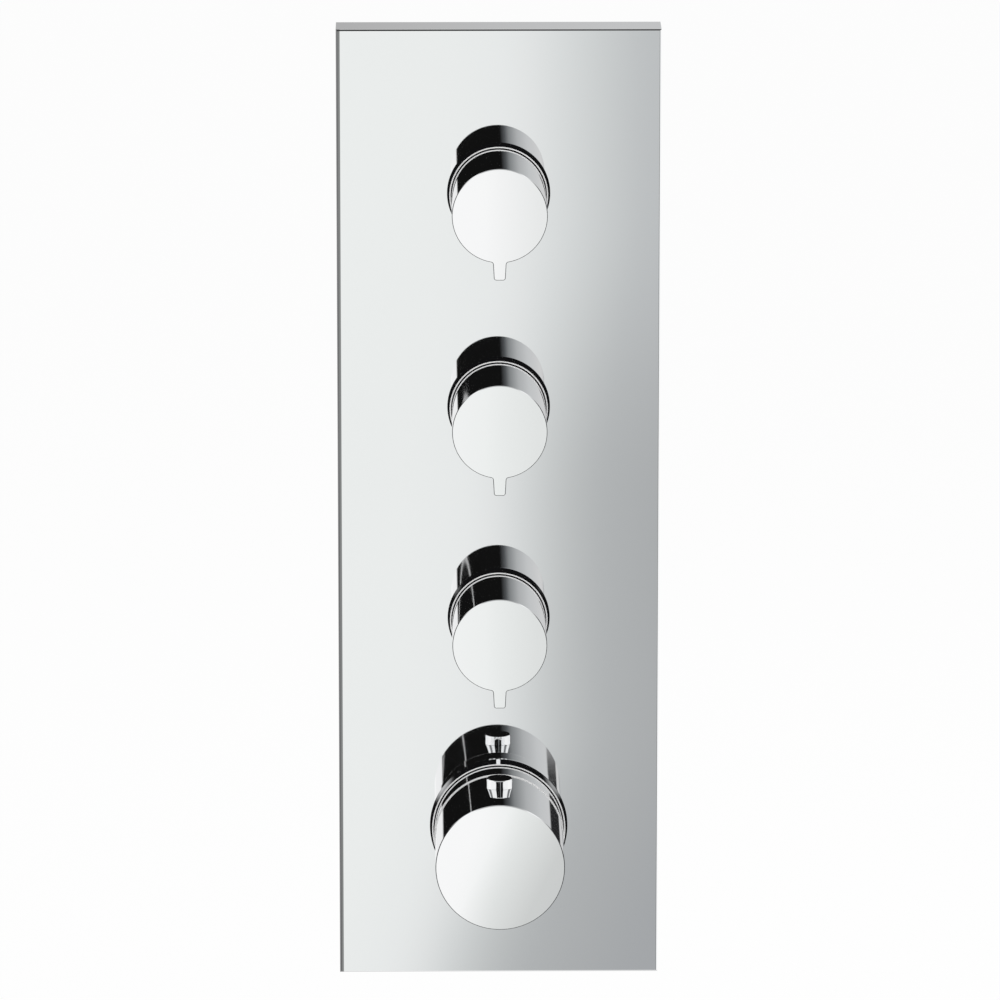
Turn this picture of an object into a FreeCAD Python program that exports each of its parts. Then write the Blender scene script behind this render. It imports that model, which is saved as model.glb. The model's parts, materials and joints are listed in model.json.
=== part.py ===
"""Concealed thermostatic shower valve: a chrome wall plate with three stop knobs over one thermostat knob.

Frame, in millimetres: X runs right, +Y runs into the wall, +Z runs up. The origin is the middle of the plate
on the finished wall, so the trim lies at negative Y and the concealed valve at positive Y.
"""
import FreeCAD, Part
import math
import os
import re

import Sketcher

doc = FreeCAD.newDocument("thermostatic_shower_valve")
sheet = doc.addObject("Spreadsheet::Sheet", "Sizes")

# ---------------------------------------------------------------------------------------------------------
# Driving dimensions. A depth is measured into the wall from the finished wall, a reach out of the plate's
# front face, and a radius from the piece's own axis.
# ---------------------------------------------------------------------------------------------------------
SIZES = [
    # front plate
    ("plate_width", 120.0, "front plate, side to side"),
    ("plate_height", 362.0, "front plate, top to bottom"),
    ("plate_depth", 15.0, "front plate, wall to front face"),
    ("plate_face_wall", 2.0, "thickness of the plate's face"),
    ("plate_side_wall", 1.8, "thickness of the plate's folded sides"),
    ("plate_edge_round", 0.6, "rounding of the front edge"),
    ("axis_top_margin", 61.5, "top edge of the plate to the top knob's axis"),
    ("axis_pitch", 81.0, "one knob's axis to the next"),
    ("gasket_depth", 4.0, "foam gasket inside the rim, along the depth"),
    ("gasket_width", 3.0, "foam gasket inside the rim, across"),
    ("fit_gap", 0.1, "gap each side of a piece that slips into another"),
    # stop knobs
    ("knob_radius", 17.5, "stop knob"),
    ("knob_reach", 42.0, "plate face to the stop knob's face"),
    ("knob_foot", 2.0, "plate face to the stop knob's rear edge"),
    ("knob_wall", 2.0, "wall of the stop knob"),
    ("knob_face_wall", 2.5, "thickness of the stop knob's face"),
    ("knob_face_bevel", 0.25, "bevel round the stop knob's face"),
    ("tab_reach", 24.0, "knob axis to the end of its finger tab"),
    ("tab_root_width", 5.0, "finger tab at the knob"),
    ("tab_end_width", 4.2, "finger tab at its end"),
    ("tab_depth", 6.0, "finger tab along the knob's axis"),
    ("tab_root_round", 0.9, "fillet between tab and knob"),
    ("tab_end_round", 0.9, "rounding of the tab's corners"),
    # collars on the plate
    ("collar_height", 4.2, "collar above the plate's face"),
    ("collar_clearance", 0.3, "gap between a knob and the collar round it"),
    ("collar_rim", 0.45, "flat rim of a collar, across"),
    ("collar_flare", 0.85, "rim's outside to the collar's foot on the plate, across"),
    ("collar_floor", 1.5, "thickness of the collar's floor on the plate"),
    ("collar_skirt_length", 10.0, "threaded skirt behind the plate's face"),
    ("stop_skirt_radius", 15.8, "outside of a stop collar's skirt"),
    ("heat_skirt_radius", 17.4, "outside of the thermostat collar's skirt"),
    ("hole_gap", 0.2, "radial gap between skirt and plate hole"),
    ("thread_gap", 0.05, "radial gap in a thread or a running fit"),
    ("seal_thickness", 1.5, "flat rubber ring behind the plate"),
    ("seal_width", 2.6, "flat rubber ring across its section"),
    # stop cartridges
    ("neck_radius", 13.5, "threaded neck of a stop cartridge"),
    ("neck_front", 12.0, "cartridge neck in front of the wall"),
    ("hex_circumradius", 17.0, "hexagon of a stop cartridge, over corners"),
    ("hex_thickness", 6.0, "hexagon of a stop cartridge, along the axis"),
    ("stop_boss_front", 12.0, "depth of a stop boss's mouth"),
    ("stop_boss_radius", 17.0, "outside of a stop boss"),
    ("boss_rear", 63.0, "depth of the bosses' rear ends"),
    ("stop_bore_radius", 12.05, "bore that takes a stop cartridge"),
    ("stop_thread_length", 12.0, "threaded stretch of the bore"),
    ("stop_seat_depth", 46.0, "depth of the stop valve's seat"),
    ("stop_port_radius", 6.5, "port from the gallery to the seat"),
    ("barrel_radius", 10.0, "lower barrel of a stop cartridge"),
    ("barrel_clearance", 0.4, "barrel's end to the seat"),
    ("disc_cavity_radius", 9.1, "cavity of the ceramic discs"),
    ("disc_radius", 9.0, "ceramic disc"),
    ("fixed_disc_thickness", 4.0, "fixed ceramic disc"),
    ("moving_disc_thickness", 3.0, "turning ceramic disc"),
    ("disc_port_inner", 2.8, "axis to the near side of a port in the fixed disc"),
    ("disc_port_outer", 7.0, "axis to the far side of a port in the fixed disc"),
    ("disc_port_half", 3.2, "half the length of a port at its far side"),
    ("seat_seal_length", 1.8, "rubber seat seal along the axis"),
    ("seat_seal_wall", 2.2, "rubber seat seal across its section"),
    ("ring_section", 1.9, "section of a cartridge's sealing ring"),
    ("driver_thickness", 2.7, "flange of the spindle that drives the disc"),
    ("driver_radius", 8.5, "flange of the spindle, radius"),
    ("driver_gap", 0.3, "spindle flange to the cavity's front wall"),
    ("dog_length", 12.0, "driving dog, across the spindle"),
    ("dog_width", 3.0, "driving dog, thickness"),
    ("dog_height", 1.5, "driving dog, into the disc"),
    ("stop_spindle_radius", 4.0, "stop spindle"),
    ("stop_spindle_reach", 25.0, "plate face to the stop spindle's front end"),
    ("stop_spline_length", 20.0, "splined stretch of the stop spindle"),
    ("spline_tooth", 0.5, "height of a spline tooth"),
    # knob adapter and its screw
    ("adapter_hub_radius", 7.5, "hub of the knob adapter"),
    ("adapter_rib", 2.4, "rib of the knob adapter"),
    ("adapter_rear", 4.0, "knob's rear edge to the adapter's ring"),
    ("adapter_ring_length", 6.0, "rear ring of the knob adapter, along the axis"),
    ("adapter_ring_wall", 2.2, "rear ring of the knob adapter, wall"),
    ("set_screw_radius", 2.0, "set screw under the knob"),
    ("set_screw_sink", 0.6, "set screw's end below the knob's surface"),
    ("set_screw_key", 2.0, "hexagon key of the set screw, across flats"),
    ("set_screw_key_depth", 2.5, "depth of the set screw's key socket"),
    # thermostat knob
    ("handle_radius", 23.95, "thermostat knob"),
    ("handle_reach", 57.0, "plate face to the thermostat knob's face"),
    ("handle_split", 15.5, "plate face to the split between sleeve and knob"),
    ("handle_split_gap", 0.25, "gap at the split"),
    ("sleeve_step", 0.35, "sleeve beyond the thermostat knob, on the radius"),
    ("handle_wall", 2.2, "wall of the thermostat knob and its sleeve"),
    ("handle_face_wall", 2.5, "thickness of the thermostat knob's face"),
    ("handle_face_bevel", 0.3, "bevel round the thermostat knob's face"),
    ("sleeve_floor", 3.0, "floor of the fixed sleeve"),
    ("sleeve_gap", 0.3, "fixed sleeve to the collar's floor"),
    # safety button
    ("button_reach", 31.0, "plate face to the safety button's axis"),
    ("button_radius", 4.85, "safety button"),
    ("button_proud", 3.3, "safety button above the knob's surface"),
    ("button_end_bevel", 0.25, "bevel round the button's end"),
    ("button_flange_radius", 5.8, "flange that keeps the button in the knob"),
    ("button_flange_thickness", 1.4, "flange that keeps the button in the knob"),
    ("button_flange_drop", 1.0, "knob's inner wall to the flange"),
    ("button_cap", 2.0, "solid end of the button"),
    ("button_cavity_radius", 3.7, "spring cavity of the button"),
    ("button_stem_radius", 2.1, "stem that meets the temperature stop"),
    ("button_stem_tip", 15.8, "knob axis to the stem's tip"),
    ("button_spring_inner", 2.4, "button spring, inside radius"),
    ("button_spring_outer", 3.5, "button spring, outside radius"),
    ("guide_inner_radius", 16.4, "inside of the button guide"),
    ("guide_floor", 1.0, "floor under the button spring"),
    ("guide_front", 8.5, "button axis to the guide's front end"),
    ("guide_rear", 8.0, "button axis to the guide's rear end"),
    # carrier and screw of the thermostat knob
    ("carrier_hub_radius", 8.5, "hub of the handle carrier"),
    ("carrier_web", 2.5, "web of the handle carrier"),
    ("carrier_rim_wall", 1.5, "rim of the handle carrier"),
    ("carrier_rib", 2.0, "rib of the handle carrier"),
    ("carrier_seat", 4.0, "material under the handle screw's head"),
    ("screw_radius", 1.95, "handle screw"),
    ("screw_length", 14.0, "handle screw under its head"),
    ("screw_head_radius", 3.5, "handle screw's head"),
    ("screw_head_height", 2.8, "handle screw's head"),
    ("screw_key", 3.0, "handle screw's hexagon key, across flats"),
    # thermostat cartridge
    ("heat_boss_front", 10.0, "depth of the thermostat boss's mouth"),
    ("heat_boss_radius", 24.0, "outside of the thermostat boss"),
    ("heat_recess_radius", 20.0, "threaded mouth of the thermostat boss"),
    ("heat_shoulder_depth", 22.0, "depth of the shoulder that seats the cartridge"),
    ("heat_bore_radius", 16.0, "thermostat chamber"),
    ("heat_floor_depth", 60.0, "depth of the thermostat chamber's floor"),
    ("heat_port_radius", 8.0, "mixed water port to the gallery"),
    ("housing_radius", 15.8, "thermostat cartridge"),
    ("housing_rear", 58.0, "depth of the cartridge's rear end"),
    ("housing_flange_radius", 17.5, "flange of the thermostat cartridge"),
    ("housing_flange", 3.0, "thickness of the cartridge's flange"),
    ("housing_neck_radius", 11.5, "neck of the thermostat cartridge"),
    ("housing_neck_front", 26.0, "cartridge neck in front of the wall"),
    ("housing_recess_radius", 9.0, "front recess of the cartridge's neck"),
    ("housing_recess_floor", 2.0, "recess floor in front of the wall"),
    ("nut_chamber_front", 14.0, "depth where the adjusting nut's chamber starts"),
    ("nut_chamber_radius", 8.6, "chamber of the adjusting nut"),
    ("cold_seat_depth", 35.0, "depth of the cold seat"),
    ("shuttle_bore_radius", 12.0, "bore of the shuttle"),
    ("window_half_width", 6.0, "half the width of an inlet window"),
    ("window_length", 4.5, "inlet window along the axis"),
    ("cold_window_depth", 38.75, "depth of the middle of the cold windows"),
    ("hot_window_depth", 49.75, "depth of the middle of the hot windows"),
    ("groove_width", 2.0, "sealing ring groove along the axis"),
    ("groove_floor_radius", 14.0, "floor of a sealing ring groove"),
    ("front_groove_depth", 29.0, "depth of the front groove"),
    ("middle_groove_depth", 43.25, "depth of the middle groove"),
    ("rear_groove_depth", 55.0, "depth of the rear groove"),
    ("lock_hex_circumradius", 23.0, "hexagon of the cartridge nut, over corners"),
    ("lock_hex_thickness", 6.0, "hexagon of the cartridge nut, along the axis"),
    ("lock_sleeve_inner", 12.0, "inside of the cartridge nut"),
    # regulating train
    ("heat_spindle_radius", 5.0, "regulating spindle"),
    ("heat_spindle_reach", 47.0, "plate face to the regulating spindle's front end"),
    ("heat_spline_length", 12.0, "splined stretch of the regulating spindle"),
    ("heat_thread_radius", 4.5, "thread of the regulating spindle"),
    ("heat_thread_end", 23.0, "depth of the regulating spindle's rear end"),
    ("spindle_flange_radius", 7.0, "thrust flange of the regulating spindle"),
    ("spindle_flange", 2.0, "thrust flange of the regulating spindle"),
    ("screw_bore_radius", 2.0, "tapped bore in the regulating spindle"),
    ("nut_front", 16.5, "depth of the adjusting nut's front end"),
    ("nut_thread_length", 6.0, "threaded stretch of the adjusting nut"),
    ("nut_lip", 0.7, "lip that keeps the overload plunger in"),
    ("nut_lip_radius", 5.6, "opening in the lip"),
    ("nut_radius", 8.5, "adjusting nut"),
    ("nut_key_reach", 9.6, "axis to the top of the nut's keys"),
    ("nut_key_width", 2.4, "width of the nut's keys"),
    ("overload_cavity_radius", 6.5, "cavity of the overload spring"),
    ("overload_cavity_length", 8.5, "cavity of the overload spring"),
    ("overload_spring_inner", 4.9, "overload spring, inside radius"),
    ("overload_spring_outer", 6.3, "overload spring, outside radius"),
    ("plunger_thickness", 2.0, "overload plunger's plate"),
    ("plunger_nose", 1.0, "overload plunger's nose"),
    ("plunger_nose_radius", 3.0, "overload plunger's nose"),
    ("shuttle_front", 35.6, "depth of the shuttle's cold edge"),
    ("shuttle_rear", 51.8, "depth of the shuttle's hot edge"),
    ("shuttle_lip_radius", 10.5, "outside of the shuttle's edges"),
    ("shuttle_inner_radius", 8.5, "inside of the shuttle"),
    ("shuttle_band_length", 3.0, "sealing band of the shuttle"),
    ("shuttle_web_front", 43.0, "depth of the shuttle's web"),
    ("shuttle_web", 2.0, "thickness of the shuttle's web"),
    ("shuttle_port_inner", 5.3, "axis to the near side of a port in the web"),
    ("shuttle_port_outer", 7.6, "axis to the far side of a port in the web"),
    ("shuttle_port_half", 3.6, "half the length of a port in the web"),
    ("wax_stem_radius", 1.6, "piston of the wax element"),
    ("wax_collar_radius", 4.8, "collar of the wax element"),
    ("wax_collar_length", 4.0, "collar of the wax element"),
    ("wax_body_radius", 3.95, "bulb of the wax element"),
    ("wax_rear", 58.0, "depth of the wax element's rear end"),
    ("hot_seat_front", 53.0, "depth of the hot seat"),
    ("hot_seat_inner_radius", 9.0, "inside of the hot seat"),
    ("spring_ledge", 1.2, "ledge under the return spring"),
    ("spring_ledge_radius", 5.7, "opening in the ledge"),
    ("return_spring_inner", 5.9, "return spring, inside radius"),
    ("return_spring_outer", 7.3, "return spring, outside radius"),
    # temperature stop
    ("stop_ring_radius", 13.5, "tube of the temperature stop"),
    ("stop_ring_front", 49.0, "temperature stop in front of the wall"),
    ("lug_reach", 15.1, "axis to the top of the stop's lug"),
    ("lug_near", 2.6, "side of the lug next to the stem"),
    ("lug_width", 2.8, "width of the lug"),
    ("lug_length", 3.5, "lug along the axis"),
    ("lug_gap", 0.4, "lug to the path of the stem"),
    # concealed body
    ("gallery_depth", 66.0, "depth of the gallery's axis"),
    ("gallery_radius", 12.5, "outside of the gallery"),
    ("gallery_bore_radius", 8.5, "bore of the gallery"),
    ("gallery_top", 17.0, "top knob's axis to the gallery's top end"),
    ("gallery_bottom", 13.5, "thermostat axis to the gallery's bottom end"),
    ("gallery_end_wall", 6.0, "closed bottom of the gallery"),
    ("plug_radius", 9.95, "thread of the gallery plug"),
    ("plug_length", 11.0, "thread of the gallery plug"),
    ("plug_head_radius", 12.0, "head of the gallery plug"),
    ("plug_head", 5.0, "head of the gallery plug"),
    ("plug_key", 10.0, "hexagon key of the gallery plug, across flats"),
    ("spine_thickness", 8.0, "web that ties the bosses together"),
    ("spine_front", 24.0, "depth of the spine's front edge"),
    ("inlet_depth", 44.0, "depth of the inlets' axis"),
    ("inlet_reach", 58.0, "centre line to the end of an inlet"),
    ("inlet_boss_radius", 16.5, "outside of an inlet boss"),
    ("inlet_hex_circumradius", 18.2, "octagon of an inlet boss, over corners"),
    ("inlet_hex_length", 14.0, "octagon of an inlet boss, along the inlet"),
    ("inlet_thread_radius", 12.06, "threaded bore of an inlet"),
    ("inlet_thread_length", 16.0, "threaded bore of an inlet"),
    ("check_bore_radius", 9.5, "bore of a check valve"),
    ("check_bore_end", 21.0, "centre line to the end of the check valve's bore"),
    ("feed_radius", 3.6, "passage from a check valve to the chamber"),
    ("outlet_depth", 37.0, "depth of the outlets' axis"),
    ("outlet_reach", 48.0, "centre line to the end of a side outlet"),
    ("top_outlet_reach", 36.0, "top knob's axis to the end of the top outlet"),
    ("outlet_boss_radius", 13.5, "outside of an outlet boss"),
    ("outlet_thread_radius", 9.3, "threaded bore of an outlet"),
    ("outlet_thread_length", 14.0, "threaded bore of an outlet"),
    ("outlet_port_radius", 7.0, "port from the stop chamber to the outlet"),
    # check valves and strainers
    ("check_outer_end", 40.6, "centre line to the check valve's outer end"),
    ("check_inner_end", 24.2, "centre line to the check valve's inner end"),
    ("check_wall", 1.8, "wall of the check valve"),
    ("check_seat_thickness", 2.0, "seat of the check valve"),
    ("check_seat_radius", 5.0, "opening in the seat"),
    ("check_guide_radius", 1.6, "guide of the poppet's stem"),
    ("check_port_inner", 3.0, "axis to the near side of a port in the check valve's inner end"),
    ("check_port_outer", 6.0, "axis to the far side of a port in the check valve's inner end"),
    ("check_port_half", 4.0, "half the length of a port in the check valve's inner end"),
    ("poppet_radius", 6.4, "poppet"),
    ("poppet_thickness", 1.6, "poppet"),
    ("poppet_stem_radius", 1.5, "stem of the poppet"),
    ("poppet_stem_end", 24.6, "centre line to the stem's end"),
    ("check_spring_inner", 1.8, "check spring, inside radius"),
    ("check_spring_outer", 2.9, "check spring, outside radius"),
    ("strainer_thickness", 1.2, "inlet strainer"),
    ("strainer_slot", 1.0, "slot of the strainer"),
    ("strainer_pitch", 2.4, "one slot to the next"),
    # wall brackets and their screws
    ("bracket_pad_front", 68.0, "depth where a bracket pad starts"),
    ("bracket_depth", 80.0, "depth of a bracket's front face"),
    ("bracket_pad_width", 48.0, "bracket pad on the body"),
    ("bracket_pad_height", 22.0, "bracket pad on the body"),
    ("bracket_sheet", 2.5, "bracket sheet"),
    ("bracket_width", 112.0, "bracket, side to side"),
    ("bracket_height", 28.0, "bracket, top to bottom"),
    ("bracket_lip", 8.0, "folded edge of the bracket"),
    ("bracket_screw_spacing", 34.0, "spacing of a bracket's screws"),
    ("bracket_screw_radius", 2.2, "bracket screw"),
    ("bracket_screw_length", 10.0, "bracket screw behind its head"),
    ("bracket_head_radius", 4.6, "countersunk head"),
    ("bracket_head_height", 2.4, "countersunk head"),
    ("slot_spacing", 92.0, "spacing of a bracket's fixing slots"),
    ("slot_radius", 3.25, "half the width of a fixing slot"),
    ("slot_length", 12.0, "fixing slot, end to end"),
    # mounting frame and clips
    ("frame_width", 106.0, "mounting frame, side to side"),
    ("frame_height", 348.0, "mounting frame, top to bottom"),
    ("frame_thickness", 3.0, "mounting frame's base"),
    ("frame_lip_height", 6.0, "lip round the mounting frame"),
    ("frame_lip_wall", 1.5, "lip round the mounting frame"),
    ("frame_stop_window", 17.5, "window round a stop cartridge, radius"),
    ("frame_heat_window", 18.0, "window round the thermostat cartridge, radius"),
    ("frame_screw_x", 44.0, "centre line to a wall screw hole"),
    ("frame_screw_z", 160.0, "middle of the plate to a wall screw hole"),
    ("frame_screw_radius", 2.6, "wall screw hole"),
    ("clip_height", 110.0, "middle of the plate to a clip"),
    ("clip_strip", 0.6, "strip of a clip"),
    ("clip_width", 14.0, "clip along the plate's side"),
    ("clip_hook", 4.0, "clip inside the frame's lip"),
    ("clip_gap", 0.2, "clip to the plate's side wall"),
    ("clip_bow_depth", 6.4, "depth of the clip's bow in front of the wall"),
]
NAMES = {alias for alias, _, _ in SIZES}
for row, (alias, number, meaning) in enumerate(SIZES, start=1):
    sheet.set(f"A{row}", meaning)
    sheet.set(f"B{row}", str(number))
    sheet.setAlias(f"B{row}", alias)
doc.recompute()

# Places and sizes that follow from the driving dimensions.
PLATE_FACE = "-plate_depth"
TOP_AXIS = "(plate_height / 2 - axis_top_margin)"
STOP_PLACES = ["top", "middle", "lower"]
STOP_AXES = [f"({TOP_AXIS} - {k} * axis_pitch)" for k in range(len(STOP_PLACES))]
HEAT_AXIS = f"({TOP_AXIS} - {len(STOP_PLACES)} * axis_pitch)"
BRACKET_AXES = [f"({TOP_AXIS} - 0.5 * axis_pitch)", f"({TOP_AXIS} - 2.5 * axis_pitch)"]
COLLAR_FLOOR_FACE = "(-plate_depth - collar_floor)"
KNOB_FACE = "(-plate_depth - knob_reach)"
KNOB_REAR = "(-plate_depth - knob_foot)"
KNOB_INNER = "(knob_radius - knob_wall)"
KNOB_UNDERSIDE = "(-plate_depth - knob_reach + knob_face_wall)"
SET_SCREW_DEPTH = f"({KNOB_REAR} - adapter_rear - adapter_ring_length / 2)"
FIXED_DISC_REAR = "(stop_seat_depth - seat_seal_length)"
DISC_JOINT = f"({FIXED_DISC_REAR} - fixed_disc_thickness)"
MOVING_DISC_FRONT = f"({DISC_JOINT} - moving_disc_thickness)"
DRIVER_FRONT = f"({MOVING_DISC_FRONT} - driver_thickness)"
DISC_CAVITY_FRONT = f"({DRIVER_FRONT} - driver_gap)"
STOP_SPLINE_REAR = "(-plate_depth - stop_spindle_reach + stop_spline_length)"
HANDLE_FACE = "(-plate_depth - handle_reach)"
HANDLE_INNER = "(handle_radius - handle_wall)"
HANDLE_UNDERSIDE = "(-plate_depth - handle_reach + handle_face_wall)"
SLEEVE_RADIUS = "(handle_radius + sleeve_step)"
SPLIT_FRONT = "(-plate_depth - handle_split - handle_split_gap / 2)"
SPLIT_REAR = "(-plate_depth - handle_split + handle_split_gap / 2)"
SLEEVE_REAR = f"({COLLAR_FLOOR_FACE} - sleeve_gap)"
SLEEVE_FLOOR_FACE = f"({SLEEVE_REAR} - sleeve_floor)"
BUTTON_DEPTH = "(-plate_depth - button_reach)"
BUTTON_END = "(handle_radius + button_proud)"
BUTTON_FLANGE_TOP = f"({HANDLE_INNER} - button_flange_drop)"
BUTTON_CAVITY_TOP = f"({BUTTON_END} - button_cap)"
GUIDE_FLOOR_TOP = "(guide_inner_radius + guide_floor)"
GUIDE_FRONT = f"({BUTTON_DEPTH} - guide_front)"
GUIDE_REAR = f"({BUTTON_DEPTH} + guide_rear)"
HEAT_SPINDLE_FRONT = "(-plate_depth - heat_spindle_reach)"
HEAT_SPLINE_REAR = "(-plate_depth - heat_spindle_reach + heat_spline_length)"
NUT_REAR = "(nut_front + nut_thread_length + overload_cavity_length + nut_lip)"
OVERLOAD_FRONT = "(nut_front + nut_thread_length)"
LIP_FACE = "(nut_front + nut_thread_length + overload_cavity_length)"
WAX_STEM_FRONT = f"({LIP_FACE} + plunger_nose)"
SHUTTLE_WEB_REAR = "(shuttle_web_front + shuttle_web)"
LEDGE_FACE = "(housing_rear - spring_ledge)"
GALLERY_TOP = f"({TOP_AXIS} + gallery_top)"
GALLERY_BOTTOM = f"({HEAT_AXIS} - gallery_bottom)"
CHECK_SEAT_FACE = "(check_outer_end - check_seat_thickness)"
SPIDER_FACE = "(check_inner_end + check_seat_thickness)"
POPPET_REAR = f"({CHECK_SEAT_FACE} - poppet_thickness)"

HEX_SIDES = 6
SPLINE_TEETH = 12


# ---------------------------------------------------------------------------------------------------------
# Ways of making a solid
# ---------------------------------------------------------------------------------------------------------
def bound(formula):
    """The formula with each size named in the sheet."""
    return re.sub(r"[a-z]\w*", lambda word: f"Sizes.{word[0]}" if word[0] in NAMES else word[0], str(formula))


def number(formula):
    """The formula's value with the sheet as it stands."""
    return float(sheet.evalExpression(bound(formula)))


def origin_part(body, role):
    """The body's own origin plane or axis of that role."""
    return next(feature for feature in body.Origin.OriginFeatures if feature.Role == role)


def settle(thing, turn, at):
    """Turn a thing and bind its place to the sheet."""
    thing.Placement = FreeCAD.Placement(FreeCAD.Vector(), turn)
    for letter, formula in zip("xyz", at):
        thing.setExpression(f"Placement.Base.{letter}", bound(formula))


# How a piece turned about its own Y axis lies in the frame.
AS_DRAWN = FreeCAD.Rotation()
OUT_LEFT = FreeCAD.Rotation(FreeCAD.Vector(0, 0, 1), 90)
OUT_RIGHT = FreeCAD.Rotation(FreeCAD.Vector(0, 0, 1), -90)
UPWARD = FreeCAD.Rotation(FreeCAD.Vector(1, 0, 0), 90)
DOWNWARD = FreeCAD.Rotation(FreeCAD.Vector(1, 0, 0), -90)
# How a primitive that stands on Z is laid along another axis.
ALONG = {
    "+X": FreeCAD.Rotation(FreeCAD.Vector(0, 1, 0), 90),
    "-X": FreeCAD.Rotation(FreeCAD.Vector(0, 1, 0), -90),
    "+Y": FreeCAD.Rotation(FreeCAD.Vector(1, 0, 0), -90),
    "+Z": FreeCAD.Rotation(),
}


def new_body(label, at=("0", "0", "0"), turn=AS_DRAWN):
    body = doc.addObject("PartDesign::Body", label)
    body.Label = label
    settle(body, turn, at)
    return body


def new_sketch(body, name, plane, depth):
    """An empty sketch on one of the body's planes, or parallel to it at a depth along Y."""
    sketch = body.newObject("Sketcher::SketchObject", f"{body.Name}_{name}")
    sketch.AttachmentSupport = [(origin_part(body, plane), "")]
    sketch.MapMode = "FlatFace"
    if depth is not None:
        # the XZ plane faces -Y, so a depth counts backwards from it
        sketch.setExpression("AttachmentOffset.Base.z", bound(f"-({depth})"))
    return sketch


def outline(body, name, plane, corners, depth=None):
    """A closed outline of straight sides, each corner held by two formulas."""
    sketch = new_sketch(body, name, plane, depth)
    places = [FreeCAD.Vector(number(across), number(up), 0) for across, up in corners]
    count = len(places)
    sides = [Part.LineSegment(places[k], places[(k + 1) % count]) for k in range(count)]
    sketch.addGeometry(sides, False)
    joints = [Sketcher.Constraint("Coincident", k, 2, (k + 1) % count, 1) for k in range(count)]
    holds = []
    for k, place in enumerate(places):
        holds.append(Sketcher.Constraint("DistanceX", -1, 1, k, 1, place.x))
        holds.append(Sketcher.Constraint("DistanceY", -1, 1, k, 1, place.y))
    sketch.addConstraint(joints + holds)
    for k, (across, up) in enumerate(corners):
        sketch.setExpression(f"Constraints[{count + 2 * k}]", bound(across))
        sketch.setExpression(f"Constraints[{count + 2 * k + 1}]", bound(up))
    return sketch


def round_hole(sketch, up, radius):
    """One circle on the sketch's upright axis."""
    centre = FreeCAD.Vector(0, number(up), 0)
    sketch.addGeometry(Part.Circle(centre, FreeCAD.Vector(0, 0, 1), number(radius)), False)
    sketch.addConstraint([
        Sketcher.Constraint("DistanceX", -1, 1, 0, 3, 0.0),
        Sketcher.Constraint("DistanceY", -1, 1, 0, 3, centre.y),
        Sketcher.Constraint("Radius", 0, number(radius)),
    ])
    sketch.setExpression("Constraints[1]", bound(up))
    sketch.setExpression("Constraints[2]", bound(radius))


def circles(body, name, plane, rounds, depth=None):
    """Circles, each as (across, up, radius) formulas."""
    sketch = new_sketch(body, name, plane, depth)
    for k, (across, up, radius) in enumerate(rounds):
        centre = FreeCAD.Vector(number(across), number(up), 0)
        sketch.addGeometry(Part.Circle(centre, FreeCAD.Vector(0, 0, 1), number(radius)), False)
        sketch.addConstraint([
            Sketcher.Constraint("DistanceX", -1, 1, k, 3, centre.x),
            Sketcher.Constraint("DistanceY", -1, 1, k, 3, centre.y),
            Sketcher.Constraint("Radius", k, number(radius)),
        ])
        for step, formula in enumerate((across, up, radius)):
            sketch.setExpression(f"Constraints[{3 * k + step}]", bound(formula))
    return sketch


def slot(body, name, plane, middle, straight, radius, depth):
    """A slot with round ends, its middle on the plane's first axis; straight is half its straight run."""
    sketch = new_sketch(body, name, plane, depth)
    left, right = f"({middle}) - ({straight})", f"({middle}) + ({straight})"
    ends = [FreeCAD.Vector(number(end), 0, 0) for end in (left, right)]
    reach = FreeCAD.Vector(0, number(radius), 0)
    up = FreeCAD.Vector(0, 0, 1)
    quarter = math.pi / 2
    sketch.addGeometry([
        Part.LineSegment(ends[0] - reach, ends[1] - reach),
        Part.ArcOfCircle(Part.Circle(ends[1], up, reach.y), -quarter, quarter),
        Part.LineSegment(ends[1] + reach, ends[0] + reach),
        Part.ArcOfCircle(Part.Circle(ends[0], up, reach.y), quarter, 3 * quarter),
    ], False)
    sketch.addConstraint([Sketcher.Constraint("Tangent", k, 2, (k + 1) % 4, 1) for k in range(4)])
    for arc, end in ((1, right), (3, left)):
        first = len(sketch.Constraints)
        sketch.addConstraint([
            Sketcher.Constraint("DistanceX", -1, 1, arc, 3, number(end)),
            Sketcher.Constraint("DistanceY", -1, 1, arc, 3, 0.0),
            Sketcher.Constraint("Radius", arc, reach.y),
        ])
        sketch.setExpression(f"Constraints[{first}]", bound(end))
        sketch.setExpression(f"Constraints[{first + 2}]", bound(radius))
    return sketch


def rectangle(left, right, bottom, top):
    return [(left, bottom), (right, bottom), (right, top), (left, top)]


def port_corners(sign, near, far, half):
    """A port that widens away from the axis, on the side that the sign gives."""
    return [
        (f"-{half} / 2", f"{sign}{near}"),
        (f"{half} / 2", f"{sign}{near}"),
        (half, f"{sign}{far}"),
        (f"-{half}", f"{sign}{far}"),
    ]


def polygon(radius, sides, first=0.0):
    """Corners of a regular polygon, the radius taken over its corners."""
    angles = [math.radians(first + 360.0 * k / sides) for k in range(sides)]
    return [(f"({radius}) * {math.cos(a):.6f}", f"({radius}) * {math.sin(a):.6f}") for a in angles]


def hexagon(across_flats):
    return polygon(f"({across_flats}) / {2 * math.cos(math.pi / 6):.6f}", HEX_SIDES)


def star(radius, tooth):
    """Corners of a splined section, tooth tips and roots in turn."""
    steps = [math.pi * k / SPLINE_TEETH for k in range(2 * SPLINE_TEETH)]
    reach = [f"({radius})" if k % 2 == 0 else f"({radius} - {tooth})" for k in range(2 * SPLINE_TEETH)]
    return [(f"{r} * {math.cos(a):.6f}", f"{r} * {math.sin(a):.6f}") for r, a in zip(reach, steps)]


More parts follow.
